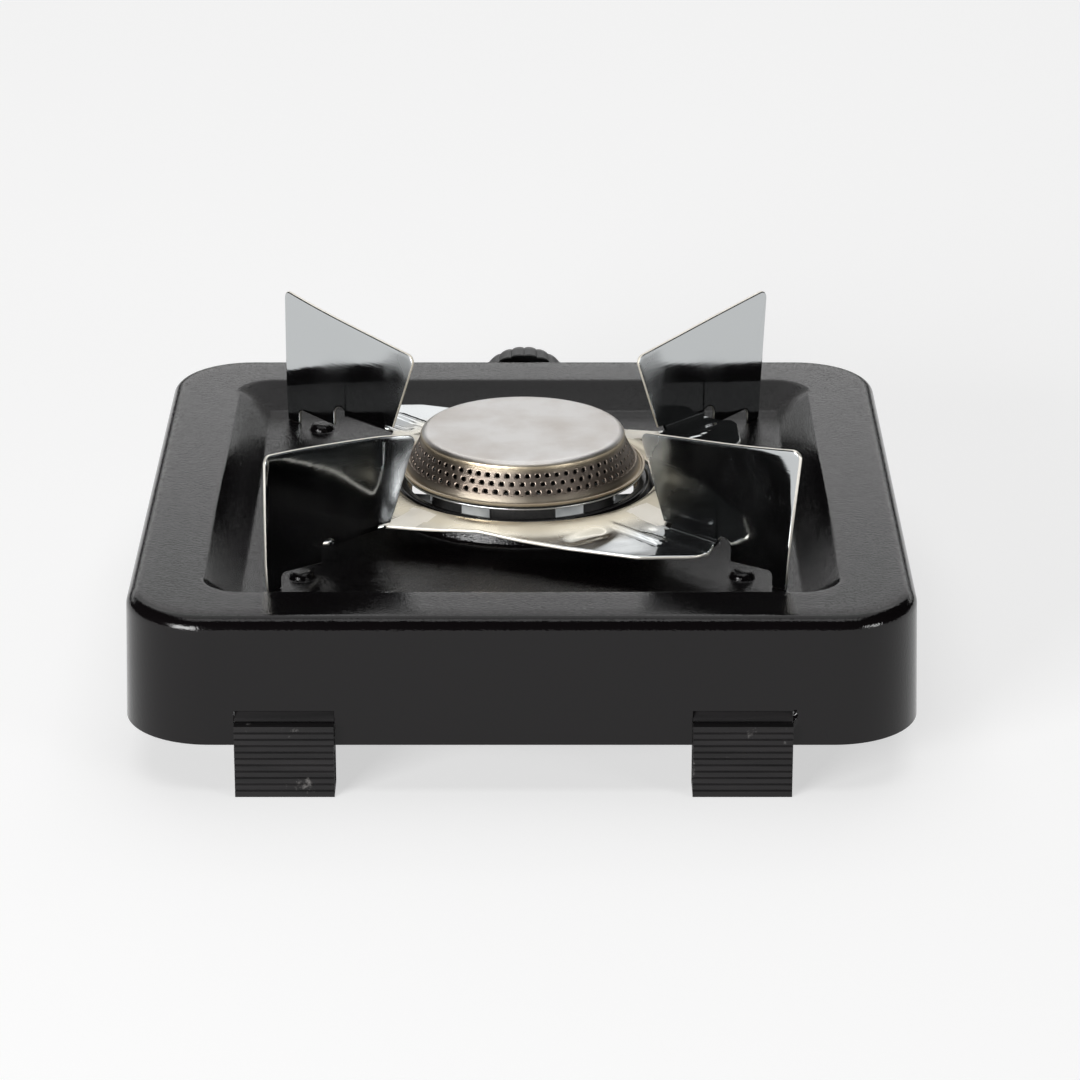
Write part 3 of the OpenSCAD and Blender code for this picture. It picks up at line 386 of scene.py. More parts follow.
def inwards(loop):
    """Unit vectors that point into a loop that runs anticlockwise: its direction at each
    point, turned left."""
    run = np.roll(loop, -1, 0) - np.roll(loop, 1, 0)
    run /= np.maximum(np.linalg.norm(run, axis=1, keepdims=True), 1e-9)
    return np.stack([-run[:, 1], run[:, 0]], -1)


def grid(points, keep=None, round_rows=False):
    """Vertices and quads of a grid of points [rows, columns, 3]. Each row closes into a ring,
    and each column too if round_rows is set. keep marks the quads that stay. A quad runs along
    its row first, so its face looks to row direction x column direction."""
    rows, cols = points.shape[:2]
    i = np.arange(rows if round_rows else rows - 1)[:, None]
    i, j = np.broadcast_arrays(i, np.arange(cols)[None, :])
    i1, j1 = (i + 1) % rows, (j + 1) % cols
    quads = np.stack([i * cols + j, i * cols + j1, i1 * cols + j1, i1 * cols + j], -1)
    quads = quads[keep] if keep is not None else quads.reshape(-1, 4)
    return points.reshape(-1, 3), quads


def merged(*parts):
    """One list of vertices and faces from several."""
    points, faces, count = [], [], 0
    for verts, polys in parts:
        points.append(verts)
        polys = polys.tolist() if isinstance(polys, np.ndarray) else polys
        faces += [[k + count for k in face] for face in polys]
        count += len(verts)
    return np.concatenate(points), faces


def piece(name, body, slot_name, surface, nodes, outward=True):
    """Makes a piece from vertices in millimetres and faces, welds its seams and poles,
    shades it smooth below 35 degrees, and lets it ride on its body."""
    verts, faces = surface
    mesh = bpy.data.meshes.new(name)
    mesh.from_pydata((verts * MM).tolist(), [],
                     faces.tolist() if isinstance(faces, np.ndarray) else faces)
    made = bmesh.new()
    made.from_mesh(mesh)
    bmesh.ops.remove_doubles(made, verts=made.verts, dist=2e-6)
    bmesh.ops.dissolve_degenerate(made, edges=made.edges, dist=1e-6)
    if outward:
        bmesh.ops.recalc_face_normals(made, faces=made.faces)
    made.to_mesh(mesh)
    made.free()
    mesh.shade_smooth()
    mesh.set_sharp_from_angle(angle=np.radians(35.0))
    mesh.materials.append(finish(slot_name))
    obj = bpy.data.objects.new(name, mesh)
    bpy.context.scene.collection.objects.link(obj)
    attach(obj, body)
    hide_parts(*nodes)
    return obj


def thicken(obj, thickness):
    """A wall behind the surface."""
    wall = obj.modifiers.new("wall", "SOLIDIFY")
    wall.thickness = thickness * MM
    wall.offset = -1
    wall.use_even_offset = True


def soften(obj, width):
    """Rounds the sharp edges."""
    bevel = obj.modifiers.new("edges", "BEVEL")
    bevel.width = width * MM
    bevel.segments = 2
    bevel.limit_method = "ANGLE"
    bevel.angle_limit = np.radians(50)
    bevel.harden_normals = True


def about_z(section, count, closed=False):
    """A section [radius, height] turned about the Z axis: (r cos a, r sin a, h)."""
    a = np.radians(np.linspace(0, 360, count, endpoint=False))
    r, h = section[:, :1], section[:, 1:]
    return grid(np.stack([r * np.cos(a), r * np.sin(a), h + 0 * a], -1), round_rows=closed)


def about_tap(section, count, at_x=0.0):
    """A section [radius, place along Y] turned about the tap's axis, or the nozzle's."""
    a = np.radians(np.linspace(0, 360, count, endpoint=False))
    r, y = section[:, :1], section[:, 1:]
    return grid(np.stack([at_x + r * np.sin(a), y + 0 * a, TAP_Z + r * np.cos(a)], -1))


def hexagon(a):
    """Radius of a hexagon against its flats' distance: 1 / cos(angle from the flat)."""
    return 1 / np.cos((a % (np.pi / 3)) - np.pi / 6)


# ---- Enamelled body ----

def hump(distance, half_width):
    """A cosine hump: 1 in its middle, 0 from its half width outwards."""
    return 0.5 + 0.5 * np.cos(np.pi * np.clip(distance / half_width, 0, 1))


def body_columns():
    """The lines that run up the body, anticlockwise from the right-hand side. Straight sides
    have a fixed direction, corners a fixed base. Returns each line's base on the rectangle of
    corner centres as a share of it, its outward direction, and its number of side (0 to 3, or
    -1 on a corner)."""
    near = np.arange(68, 108, 2.0)
    common = np.concatenate([-near, np.linspace(-66, 66, 34), near])
    hole = np.array([-10, -8.5, -7, -4.67, -2.33, 0, 2.33, 4.67, 7, 8.5, 10])
    clear = common[(abs(common) > 11) & (abs(common - NOZZLE_X) > 11)]
    ends = np.array([x + end * SLOT_HALF for x in FOOT_X for end in (-1, 1)])
    # at the back, the third end lies among the lines of the nozzle's hole
    back = np.concatenate([clear, ends[[0, 1, 3]], hole, NOZZLE_X + hole])
    cols = [common, back, common, np.concatenate([common, ends])]
    base, way, side = [], [], []
    for k in range(4):
        half, other = CORE[1 - k % 2], CORE[k % 2]
        t = np.unique(np.round(cols[k], 3))
        t = np.concatenate([[-half], t[abs(t) < half - 0.2], [half]])
        t = t if k in (0, 3) else t[::-1]
        ones = np.full_like(t, other)
        base.append(np.stack([[ones, t], [t, ones], [-ones, t], [t, -ones]][k], -1) / CORE)
        way.append(np.tile([(1, 0), (0, 1), (-1, 0), (0, -1)][k], (len(t), 1)))
        side.append(np.full(len(t), k))
        a = np.radians(np.linspace(0, 90, 29)[1:-1] + 90 * k)
        base.append(np.tile([(1, 1), (-1, 1), (-1, -1), (1, -1)][k], (len(a), 1)))
        way.append(np.stack([np.cos(a), np.sin(a)], -1))
        side.append(np.full(len(a), -1))
    return np.concatenate(base), np.concatenate(way).astype(float), np.concatenate(side)


def wall_r(z):
    """How far the wall stands out from the corner centres: it leans in evenly."""
    return CORNER_R - WALL_LEAN * (z - WALL_FOOT) / (RIM_Z - WALL_FOOT)


def enamelled_body():
    """The pressed body as one sheet. Up the wall and over the brow, and again down the tray's
    slope, a point is its line's base plus the section's radius times the line's direction.
    Across the floor it slides in a straight line to the collar's circle. The collar is turned
    about Z, and each boss about its own axis. Round holes come from pulling squares of the
    grid onto circles."""
    share_of_core, way, side = body_columns()
    base = share_of_core * CORE
    wall_z = np.array([WALL_FOOT, 20, 23, 26.4, 28.4, 30.5, 32, 33.5, 35, 37.33, 39.67, 42, 44.33,
                       46.67, 49, 50.5, 52, 54.5, 57.2])
    brow = rounded([(CORNER_R, WALL_FOOT, 0), (wall_r(RIM_Z), RIM_Z, BROW_R), (19, RIM_Z, 0)],
                   12)[1:]
    section = np.concatenate([np.stack([wall_r(wall_z), wall_z], -1), brow])
    n = len(wall_z)
    r, z = np.repeat(section[:, :1], len(base), 1), np.repeat(section[:, 1:], len(base), 1)
    on_wall = np.arange(len(z))[:, None] < n
    along = np.zeros_like(z)
    pulled, still = 7.0, 10.0  # half sides of the squares that go onto the hole and stay
    for x, hole_r in BACK_HOLES:
        u, v = base[None, :, 0] - x, z - TAP_Z
        m = np.maximum(abs(u), abs(v))
        near = (side[None] == 1) & (m < still) & (m > pulled - 0.1) & on_wall
        m = np.where(m == 0, 1, m)
        k = np.clip((m - pulled) / (still - pulled), 0, 1)
        length = np.hypot(u, v)
        length = np.where(length == 0, 1, length)
        new_u = u / length * hole_r * (1 - k) + still * u / m * k
        new_v = v / length * hole_r * (1 - k) + still * v / m * k
        along = np.where(near, new_u - u, along)
        z = np.where(near, new_v + TAP_Z, z)
    r = np.where(on_wall, wall_r(z), r)
    outer = np.stack([base[None, :, 0] + along + r * way[None, :, 0],
                      base[None, :, 1] + r * way[None, :, 1], z], -1)
    slope = rounded([(20, RIM_Z, 0), (14.5, RIM_Z, 3), (1.5, FLOOR_Z, 3), (0.4, FLOOR_Z, 0)], 10)
    inner = share_of_core * TRAY + slope[:, None, :1] * way
    inner = np.concatenate([inner, np.repeat(slope[:, None, 1:], len(base), 1)], -1)
    # the floor, from the foot of the slope to the foot of the collar
    last = inner[-1, :, :2]
    heading = last / np.linalg.norm(last, axis=1, keepdims=True)
    share = np.linspace(0, 1, 9)[1:, None, None]
    flat = last * (1 - share) + heading * COLLAR_FOOT * share
    floor = np.concatenate([flat, np.full((*flat.shape[:2], 1), FLOOR_Z)], -1)
    up = rounded([(COLLAR_FOOT, FLOOR_Z, 0), (49.8, FLOOR_Z, 2.2), (46.8, 66, 1.6),
                  (43, 65, 1.6), (41, 61, 0)], 8)
    collar = np.stack([up[1:, :1] * heading[:, 0], up[1:, :1] * heading[:, 1],
                       np.repeat(up[1:, 1:], len(heading), 1)], -1)
    points = np.concatenate([outer, inner, floor, collar])
    # the slots over the feet and the two holes behind the knob and the nozzle
    mid = (points[:-1] + points[1:]) / 2
    mid = (mid + np.roll(mid, -1, 1)) / 2
    x, y, z = np.moveaxis(mid, -1, 0)
    flank = (np.arange(len(mid))[:, None] < n - 1) & (abs(y) > 130)
    at_foot = np.any([abs(x - foot) < SLOT_HALF for foot in FOOT_X], 0)
    slot = at_foot & (z > SLOT_Z[0]) & (z < SLOT_Z[1])
    hole = (y > 0) & np.any([np.hypot(x - hole_x, z - TAP_Z) < hole_r - 0.4
                             for hole_x, hole_r in BACK_HOLES], 0)
    keep = ~(flank & (slot | hole))
    dome = rounded([(5.6, 55.9, 0), (4.6, 56.2, 0.8), (4.1, 58.8, 2.4), (0.001, 58.8, 0)], 8)
    verts, quads = about_z(dome, 48)
    bosses = [(verts + np.array([right, back, 0]) * BOSS_AT / 2 ** 0.5, quads)
              for right in (-1, 1) for back in (-1, 1)]
    return merged(grid(points, keep), *bosses)


# ---- Pan support ----

RACK_TURN, RACK_SHIFT = 1.1, 0.9  # degrees and millimetres that the loose support has moved
PLATE_Z = 64.0  # underside of the plate
SHEET = 1.4
BEND_R = 1.5
WING_V = -1.2  # middle of the wing's sheet, beside the arm's middle line
BEND_V = WING_V - SHEET / 2 - BEND_R  # where the plate ends and its bend starts
WING_Z = PLATE_Z + SHEET + BEND_R
# Places along a wing, from the burner's axis: its root, the end of its bend and of the relief
# slot beyond, its leg's sides, and its outer top corner
WING_ROOT, BEND_END, SLOT_END, LEG_IN, LEG_OUT, WING_OUT = 71.2, 96.9, 103.3, 123.0, 129.6, 132.6
WING_TOP = 108.5
HOLE_R = 48.6
BEAD_R = 52.2
LIP = 0.35  # how far a sheet reaches past its bend line, which hides its rounded edge there
# How far the outer top corner of each wing has been pushed out of its plane in use, and how
# far its inner end
PUSHED = (-0.6, -2.3, 3.2, 3.6)
BOWED = (0.0, 0.0, 4.0, 0.0)


def placed(verts, k):
    """From an arm's own frame [u out along the wing, v to its left, z] to the stove's."""
    a = np.radians(45 + 90 * k + RACK_TURN)
    u, v, z = verts.T
    return np.stack([u * np.cos(a) - v * np.sin(a) + RACK_SHIFT,
                     u * np.sin(a) + v * np.cos(a), z], -1)


def edge_rows(loop, half, radius):
    """The rounded edge of a sheet, as rows [point, in-plane x, y, and height]: the loop moved
    inwards by radius * (1 - cos a) at heights that go round from -half to half."""
    a = np.linspace(-np.pi / 2, np.pi / 2, 9)
    inset = radius * (1 - np.cos(a))
    level = np.sign(a) * (half - radius) + radius * np.sin(a)
    flat = loop[None] + inwards(loop)[None] * inset[:, None, None]
    return np.concatenate([flat, np.broadcast_to(level[:, None, None],
                                                 (len(a), len(loop), 1))], -1)


def dense(loop, step):
    """A closed line with extra points, no more than a step apart."""
    ring = np.concatenate([loop, loop[:1]])
    along = np.concatenate([[0], np.cumsum(np.hypot(*np.diff(ring, axis=0).T))])
    at = np.unique(np.round(np.concatenate([along, np.arange(0, along[-1], step)]), 2))[:-1]
    return np.stack([np.interp(at, along, ring[:, 0]), np.interp(at, along, ring[:, 1])], -1)


def from_line(point, start_at, end_at):
    """Distance of points [..., 2] from a stretch of line: the point less its foot on the
    line, whose share of the way is clipped to 0 and 1."""
    p, q = np.array(start_at), np.array(end_at)
    share = np.clip(((point - p) @ (q - p)) / ((q - p) @ (q - p)), 0, 1)
    return np.linalg.norm(point - p - share[..., None] * (q - p), axis=-1)


def pressing(x, y):
    """Height of the plate's pressings: the raised edge round its hole, and on each arm a rib,
    a pocket and a trough along the bend. The angle is folded into one quarter, so that every
    arm is the same."""
    r = np.hypot(x, y)
    a = -np.mod(-np.arctan2(y, x), np.pi / 2)
    arm = np.stack([r * np.cos(a), r * np.sin(a)], -1)
    bead = hump(abs(r - BEAD_R), np.where(r < BEAD_R, 3.6, 13.0))
    rib = hump(from_line(arm, (52.0, -14.2), (82.8, -15.5)), 3.0)
    pocket = hump(from_line(arm, (60.5, -24.5), (58.5, -36.0)), 5.4)
    trough = hump(from_line(arm, (72.0, -8.5), (99.0, -8.5)), 5.2)
    return np.maximum(1.8 * bead, rib) - (0.85 * pocket + 0.8 * trough) * (1 - bead)


def plate():
    """The flat plate: its rounded edge all round, and both faces as rows of points from its
    edge to the hole's circle, at the height of its pressings."""
    arm = [(-1.2, -WING_ROOT, 3), (27.8, -53.0, 12), (61.2, -42.0, 20), (85.8, -31.0, 8),
           (101.8, -14.5, 8), (BEND_END, BEND_V + LIP, 2),
           (WING_ROOT + 4, (BEND_V + LIP) * (WING_ROOT + 4) / BEND_END, 0)]
    corners = []
    for c, s in ((1, 0), (0, 1), (-1, 0), (0, -1)):
        corners += [(c * x - s * y, s * x + c * y, r) for x, y, r in arm]
    loop = dense(rounded(corners, 10, closed=True), 1.5)
    half = SHEET / 2
    rim = edge_rows(loop, half, 0.5)
    angle = np.maximum.accumulate(np.unwrap(np.arctan2(loop[:, 1], loop[:, 0])))
    ring = HOLE_R * np.stack([np.cos(angle), np.sin(angle)], -1)
    share = np.linspace(0, 1, 42)[:, None, None]
    low = ring * (1 - share) + rim[0, :, :2] * share
    high = rim[-1, :, :2] * (1 - share) + ring * share
    rows = np.concatenate([
        np.concatenate([low, np.full((*low.shape[:2], 1), -half)], -1)[:-1], rim,
        np.concatenate([high, np.full((*high.shape[:2], 1), half)], -1)[1:]])
    rows[..., 2] += PLATE_Z + half + pressing(rows[..., 0], rows[..., 1])
    verts, quads = grid(rows, round_rows=True)
    return placed(verts, 0), quads


def wing_outline():
    """A wing's outline seen along its sheet, [u, height], anticlockwise."""
    slot_top = WING_Z + 1.2
    points = [(WING_ROOT + 4, WING_Z - LIP, 0), (WING_ROOT + 4, WING_Z, 0),
              (WING_ROOT, WING_Z, 0), (58.8, 98, 3), (WING_OUT, WING_TOP, 3),
              (LEG_OUT, FLOOR_Z, 1), (LEG_IN, FLOOR_Z, 0.8), (LEG_IN, 61.6, 1.8),
              (SLOT_END, 59.9, 0.8), (SLOT_END, slot_top, 3.1),
              (BEND_END, slot_top, 3.1), (BEND_END, WING_Z - LIP, 0)]
    return dense(rounded(points, 8, closed=True)[::-1], 3.0)


def blade(loop, half, bulge):
    """A sheet between two faces: its rounded edge, and both faces as rows that shrink from
    the edge to a line in its middle. The rows lean away from the slot's middle, so that none
    runs along its sides. bulge gives each point's way out of the plane."""
    rim = edge_rows(loop, half, 0.55)
    slot = (BEND_END + SLOT_END) / 2
    aim = slot + 1.06 * (rim[0, :, 0] - slot)
    middle = np.stack([np.clip(aim, 84, 125.5), np.full(len(loop), 80.0)], -1)
    share = np.linspace(0, 1, 16)[1:, None, None]
    first = rim[0, :, :2] * (1 - share[::-1]) + middle * share[::-1]
    last = rim[-1, :, :2] * (1 - share) + middle * share
    rows = np.concatenate([
        np.concatenate([first, np.full((*first.shape[:2], 1), -half)], -1), rim,
        np.concatenate([last, np.full((*last.shape[:2], 1), half)], -1)])
    verts, quads = grid(rows)
    verts[:, 2] += bulge(verts[:, 0], verts[:, 1])
    return verts, quads


def wing(k):
    """One wing, and its bend into the plate. Its outer top corner is pushed out of its
    plane by the square of the distance from its root, more the higher, and curls a little
    more in the last 2.5 mm. Its inner end is bent over by a bend 10 mm wide, and dented at
    its foot by exp(-distance ** 2 / 160)."""
    def bulge(u, z):
        up = np.clip((z - WING_Z) / 41, 0, 1)
        out = np.clip((u - 95) / 38, 0, 1)
        height = np.clip((z - FLOOR_Z) / (WING_TOP - FLOOR_Z), 0, 1)
        edge = LEG_OUT + (WING_OUT - LEG_OUT) * height  # the wing's slanted outer edge
        curl = np.clip((u - edge + 2.5) / 2.5, 0, 1.2)
        way, width = np.clip(78 - u, 0, 30), 10
        inner = np.where(way < width, way ** 2 / (2 * width), way - width / 2) / 14
        dent = 0.6 * np.exp(-((u - 62) ** 2 + (z - 68) ** 2) / 160)
        return -PUSHED[k] * up * (0.85 * out ** 2 + 0.15 * curl ** 2) - \
            BOWED[k] * (inner + dent)

    verts, quads = blade(wing_outline(), SHEET / 2, bulge)
    # in-plane x is u, in-plane y is height, and the sheet's height becomes -v
    flat = placed(np.stack([verts[:, 0], WING_V - verts[:, 2], verts[:, 1]], -1), k), quads
    a = np.linspace(0, np.pi / 2, 13)
    sides = [np.stack([BEND_V + r * np.sin(a), WING_Z - r * np.cos(a)], -1)
             for r in (BEND_R + SHEET, BEND_R)]
    ring = np.concatenate([sides[0], sides[1][::-1]])
    n = len(ring)
    u = np.array([WING_ROOT + 4, BEND_END])[:, None]
    rows = np.stack([u + 0 * ring[:, 0], ring[:, 0] + 0 * u, ring[:, 1] + 0 * u], -1)
    verts, quads = grid(rows)
    ends = [list(range(n)), list(range(n, 2 * n))[::-1]]
    return merged(flat, (placed(verts, k), quads.tolist() + ends))


def mark_highlit_cut_edges(obj):
    """Marks the sheared edges, where the chrome gets a painted highlight, in the face attribute
    highlit_cut_edge. A wing's faces are its edge where they don't look across its sheet, the
    plate's where they look sideways."""
    mesh = obj.data
    n = len(mesh.polygons)
    centre, normal = np.empty(3 * n), np.empty(3 * n)
    mesh.polygons.foreach_get("center", centre)
    mesh.polygons.foreach_get("normal", normal)
    centre, normal = centre.reshape(-1, 3) / MM, normal.reshape(-1, 3)
    x, y = centre[:, 0] - RACK_SHIFT, centre[:, 1]
    k = np.round((np.degrees(np.arctan2(y, x)) - 45 - RACK_TURN) / 90)
    a = np.radians(45 + 90 * k + RACK_TURN)
    u, v = x * np.cos(a) + y * np.sin(a), y * np.cos(a) - x * np.sin(a)
    across = abs(normal[:, 1] * np.cos(a) - normal[:, 0] * np.sin(a))
    on_wing = (v > BEND_V - 0.1) & (v < 8) & (u > 54)
    bend = (u > WING_ROOT) & (u < BEND_END + 0.5) & (centre[:, 2] < WING_Z + 0.2)
    cut = np.where(on_wing, (across < 0.8) & ~bend, abs(normal[:, 2]) < 0.6)
    # the marked edges get a pale cream painted highlight in the chrome
    mesh.attributes.new("highlit_cut_edge", "FLOAT", "FACE").data.foreach_set(
        "value", cut.astype(np.float32))


# ---- Burner ----

PORTS, PORT_ROWS = 66, 3
PORT_R = 0.85
PORT_STEP = 3.0  # from one ring of ports to the next, down the cone
CONE_TOP = np.array([36.5, 83.8])  # radius and height
CONE_FOOT = np.array([43.2, 70.1])


def perforated_cap():
    """The stamped cap as one sheet. A disc, a rounded edge, a cone with three staggered rings
    of holes, and a flange with a turned-up lip, all turned about Z. On the cone each hole has
    a cell: sixteen points on its circle joined to sixteen on the cell's border."""
    slope = CONE_FOOT - CONE_TOP
    cone_l = np.linalg.norm(slope)
    down = slope / cone_l
    top = CONE_TOP[1]
    edge = rounded([(0, top, 0), (*CONE_TOP, 2.4), (*CONE_FOOT, 0)], 10)[1:-1]
    foot = rounded([(*CONE_TOP, 0), (*CONE_FOOT, 1.0), (45.0, CONE_FOOT[1], 0.4),
                    (45.3, 71.4, 0)], 5)[1:]
    disc = np.stack([[0.001, *np.linspace(6, 30, 5)], np.full(6, top)], -1)
    middle = cone_l / 2
    reach = PORT_ROWS / 2 * PORT_STEP
    upper = np.concatenate([disc, edge, [CONE_TOP + down * (middle - reach)]])
    lower = np.concatenate([[CONE_TOP + down * (middle + reach)], foot, [[44.9, 71.6]]])
    # a cell's border is a square, and its holes' circle the same points at one distance
    side, ones = np.array([-1, -0.5, 0, 0.5]), np.ones(4)
    border = np.concatenate([np.stack([side, -ones], -1), np.stack([ones, side], -1),
                             np.stack([-side, ones], -1), np.stack([-ones, -side], -1)])
    circle = border / np.linalg.norm(border, axis=1, keepdims=True)
    mix = np.array([0, 0.45, 1.0])[:, None]
    i, j = np.meshgrid(np.arange(2), np.arange(16), indexing="ij")
    quad = np.stack([i * 16 + j, i * 16 + (j + 1) % 16, (i + 1) * 16 + (j + 1) % 16,
                     (i + 1) * 16 + j], -1).reshape(-1, 4)
    quads = (quad[None] + 48 * np.arange(PORTS)[:, None, None]).reshape(-1, 4)
    pitch = 2 * np.pi / PORTS
    cells = []
    for row in range(PORT_ROWS):
        centre = middle + PORT_STEP * (row - (PORT_ROWS - 1) / 2)
        turn = (np.arange(PORTS) + (row % 2) / 2) * pitch
        hole_a = circle[:, 0] * PORT_R / (CONE_TOP + down * centre)[0]
        a = hole_a * (1 - mix) + border[:, 0] * pitch / 2 * mix
        away = circle[:, 1] * PORT_R * (1 - mix) + border[:, 1] * PORT_STEP / 2 * mix
        r, z = np.moveaxis(CONE_TOP + down * (centre + away)[..., None], -1, 0)
        angle = turn[:, None, None] + a
        points = np.stack([r * np.cos(angle), r * np.sin(angle), z + 0 * angle], -1)
        cells.append((points.reshape(-1, 3), quads))
    count = 4 * PORTS
    return merged(about_z(upper, count), *cells, about_z(lower, count))


def burner_cup():
    """The cast cup turned about Z: base with its bore, wall and open top."""
    ring = rounded([(8.05, 54, 0), (34, 54, 3), (34, 68.6, 0.5), (32, 68.6, 0.5), (32, 57, 2),
                    (8.05, 57, 0)], 6, closed=True)
    return about_z(ring, 160, closed=True)


def seat_ring():
    """The seat: a flat ring turned about Z, and six legs, each a band on the cup's wall with
    a rounded bend at its top."""
    low, cup_r = 68.6, 34.0
    flat = rounded([(32, low, 0.15), (44.4, low, 0.3), (44.4, SEAT_Z, 0.3), (32, SEAT_Z, 0.15)],
                   4, closed=True)
    parts = [about_z(flat, 160, closed=True)]
    leg = rounded([(34.02, 58, 0.2), (34.8, 58, 0.35), (34.8, low, 0.35), (36.2, 68.9, 0.1),
                   (34.02, 69, 0.2)], 4, closed=True)
    half = np.degrees(np.arcsin(11.5 / 2 / cup_r))
    n, bands = len(leg), 9
    ends = [list(range(n)), list(range((bands - 1) * n, bands * n))[::-1]]
    for k in range(6):
        b = np.radians(60 * k + np.linspace(-half, half, bands))[:, None]
        band = np.stack([leg[:, 0] * np.cos(b), leg[:, 0] * np.sin(b), leg[:, 1] + 0 * b], -1)
        verts, quads = grid(band)
        parts.append((verts, quads.tolist() + ends))
    return merged(*parts)


# ---- Knob, nozzle ----

def knob_shell(flutes):
    """The knob's shell: its outer section turned about the tap's axis and its inner one back.
    Its grip is a ring of round lobes: a point comes in by depth * (1 - sqrt(1 - d * d)), d its
    place across its lobe from -1 to 1."""
    big, back, front = 21.0, 149.0, 168.0  # outer radius, and the ends along Y
    outer = rounded([(big, back, 0.5), (big, 157, 1), (big - 1.6, 164, 4), (15.5, front, 3),
                     (0.001, front, 0)], 8)
    outer = np.concatenate([[(big - 0.4, back)], [(big, back + 0.4)], [(big, 152)], outer[1:]])
    inner = rounded([(0.001, 165.8, 0), (14.4, 165.8, 2), (17.8, 162.8, 2), (18.3, back, 0)], 6)
    ring = np.concatenate([outer, inner])
    a = np.radians(np.linspace(0, 360, flutes * 16, endpoint=False))
    d = ((a * flutes / (2 * np.pi)) % 1 - 0.5) * 2
    bite = 0.75 * (1 - np.sqrt(1 - 0.96 * d ** 2))
    fade = np.clip((front - 1 - ring[:, 1:]) / 3.5, 0, 1) * \
        (np.arange(len(ring)) < len(outer))[:, None]
    r = ring[:, :1] - bite * fade * (ring[:, :1] > big - 8)
    rows = np.stack([r * np.sin(a), ring[:, 1:] + 0 * a, TAP_Z + r * np.cos(a)], -1)
    hub = about_tap(rounded([(0.001, 166.5, 0), (6.5, 166.5, 0), (6.5, 152, 0.5), (3, 152, 0.2),
                             (3, 164, 0), (0.001, 164, 0)], 4), 64)
    bar = rounded_bar((-1.0, front - 1, TAP_Z + 3), (1.0, front + 0.4, TAP_Z + 14.5), 0.45)
    return merged(grid(rows), grid(np.stack([rows[-1], rows[0]])), hub, bar)


def rounded_bar(low, high, r):
    """A bar with rounded edges: a superellipsoid pulled out to its corners. Each point of a
    sphere of radius r is moved by the half size less r, with the sign of its direction."""
    t = np.linspace(-np.pi / 2, np.pi / 2, 11)[:, None]
    p = (np.arange(20) + 0.5) * 2 * np.pi / 20
    d = np.stack([np.cos(t) * np.cos(p), np.cos(t) * np.sin(p), np.sin(t) + 0 * p], -1)
    low, high = np.array(low), np.array(high)
    half, centre = (high - low) / 2, (high + low) / 2
    sign = np.where(abs(d) < 1e-9, 0, np.sign(d))
    return grid(centre + sign * (half - r) + d * r)


def hose_nozzle():
    """The hose nozzle: threaded shank, hexagon with a turned chamfer, land and barbs, all
    turned about the nozzle's axis, and its bore."""
    inner_end, outer_end, bore_r, land_r = 118, 165, 2.5, 4.75
    hex_from, hex_l, hex_half = 127.7, 5.0, 7.0  # its start, length, and half across its flats
    round_part = about_tap(rounded(
        [(bore_r, inner_end, 0.1), (4.6, inner_end, 0.1), (5, 118.4, 0), (5, hex_from, 0),
         (5.4, 132.6, 0), (5.4, 141.4, 0.4), (land_r, 142, 0), (land_r, 150, 0),
         (land_r, 150.3, 0.1), (3.85, 155, 0.1), (land_r, 155.05, 0.2), (3.85, 160, 0.1),
         (land_r, 160.05, 0.2), (3.85, outer_end, 0.3), (bore_r, outer_end, 0.2),
         (bore_r, inner_end, 0)], 3), 64, NOZZLE_X)
    a = np.radians(np.linspace(0, 360, 96, endpoint=False))
    chamfer = np.array([7.2, 7.9, 8.4, 8.4, 7.9, 7.2])[:, None]
    r = np.concatenate([0.001 + 0 * a[None], np.minimum(hex_half * hexagon(a), chamfer),
                        0.001 + 0 * a[None]])
    y = hex_from + np.array([0, *np.linspace(0, hex_l, len(chamfer)), hex_l])[:, None]
    return merged(round_part, grid(np.stack([NOZZLE_X + r * np.sin(a), y + 0 * a,
                                             TAP_Z + r * np.cos(a)], -1)))


# ---- Stage ----

LIGHTS = (  # name, place, aim, size, radiance
    ("overhead", (0, 1.15, 2.4), (0, 0.3, 0), (2.6, 2.3), 1.12),
    ("top_strip", (0, -0.45, 2.4), (0, 0, 0), (2.2, 0.7), 2.0),
    ("upper_background", (0, 3.4, 2.5), (0, 0, 0.1), (4.4, 1.7), 0.8),
    ("background", (0, 4.5, 1.4), (0, 0, 0.1), (9.0, 0.8), 1.38),
    ("front_left", (-1.38, -1.97, 0.48), (0, 0, 0.1), (1.2, 0.92), 20.0),
    ("front_right", (1.9, -1.48, 0.32), (0, 0, 0.1), (0.75, 0.5), 12.0),
)


def stage_floor():
    """A plain pale floor."""
    mesh = bpy.data.meshes.new("floor")
    mesh.from_pydata([(-8, -8, 0), (8, -8, 0), (8, 8, 0), (-8, 8, 0)], [], [(0, 1, 2, 3)])
    material, tree, shader, _ = start("studio_floor")
    set_shader(tree, shader, {"Base Color": srgb("#bcbcbc"), "Roughness": 1.0,
                              "Specular IOR Level": 0.0, "Emission Color": srgb("#ffffff"),
                              "Emission Strength": 0.58}, {})
    mesh.materials.append(material)
    floor = bpy.data.objects.new("floor", mesh)
    bpy.context.scene.collection.objects.link(floor)


def softbox(name, place, aim, size, radiance):
    """An area light that faces the point it is aimed at. Its power is pi * area * radiance,
    so a mirror shows it as bright as its radiance."""
    light = bpy.data.lights.new(name, "AREA")
    light.shape = "RECTANGLE"
    light.size, light.size_y = size
    light.energy = np.pi * size[0] * size[1] * radiance
    lamp = bpy.data.objects.new(name, light)
    d = np.array(aim, float) - np.array(place, float)
    lamp.location = place
    lamp.rotation_euler = (np.arctan2(np.hypot(d[0], d[1]), -d[2]), 0,
                           np.arctan2(d[1], d[0]) - np.pi / 2)
    bpy.context.scene.collection.objects.link(lamp)


# ---- Sizes and colours that a user may change ----

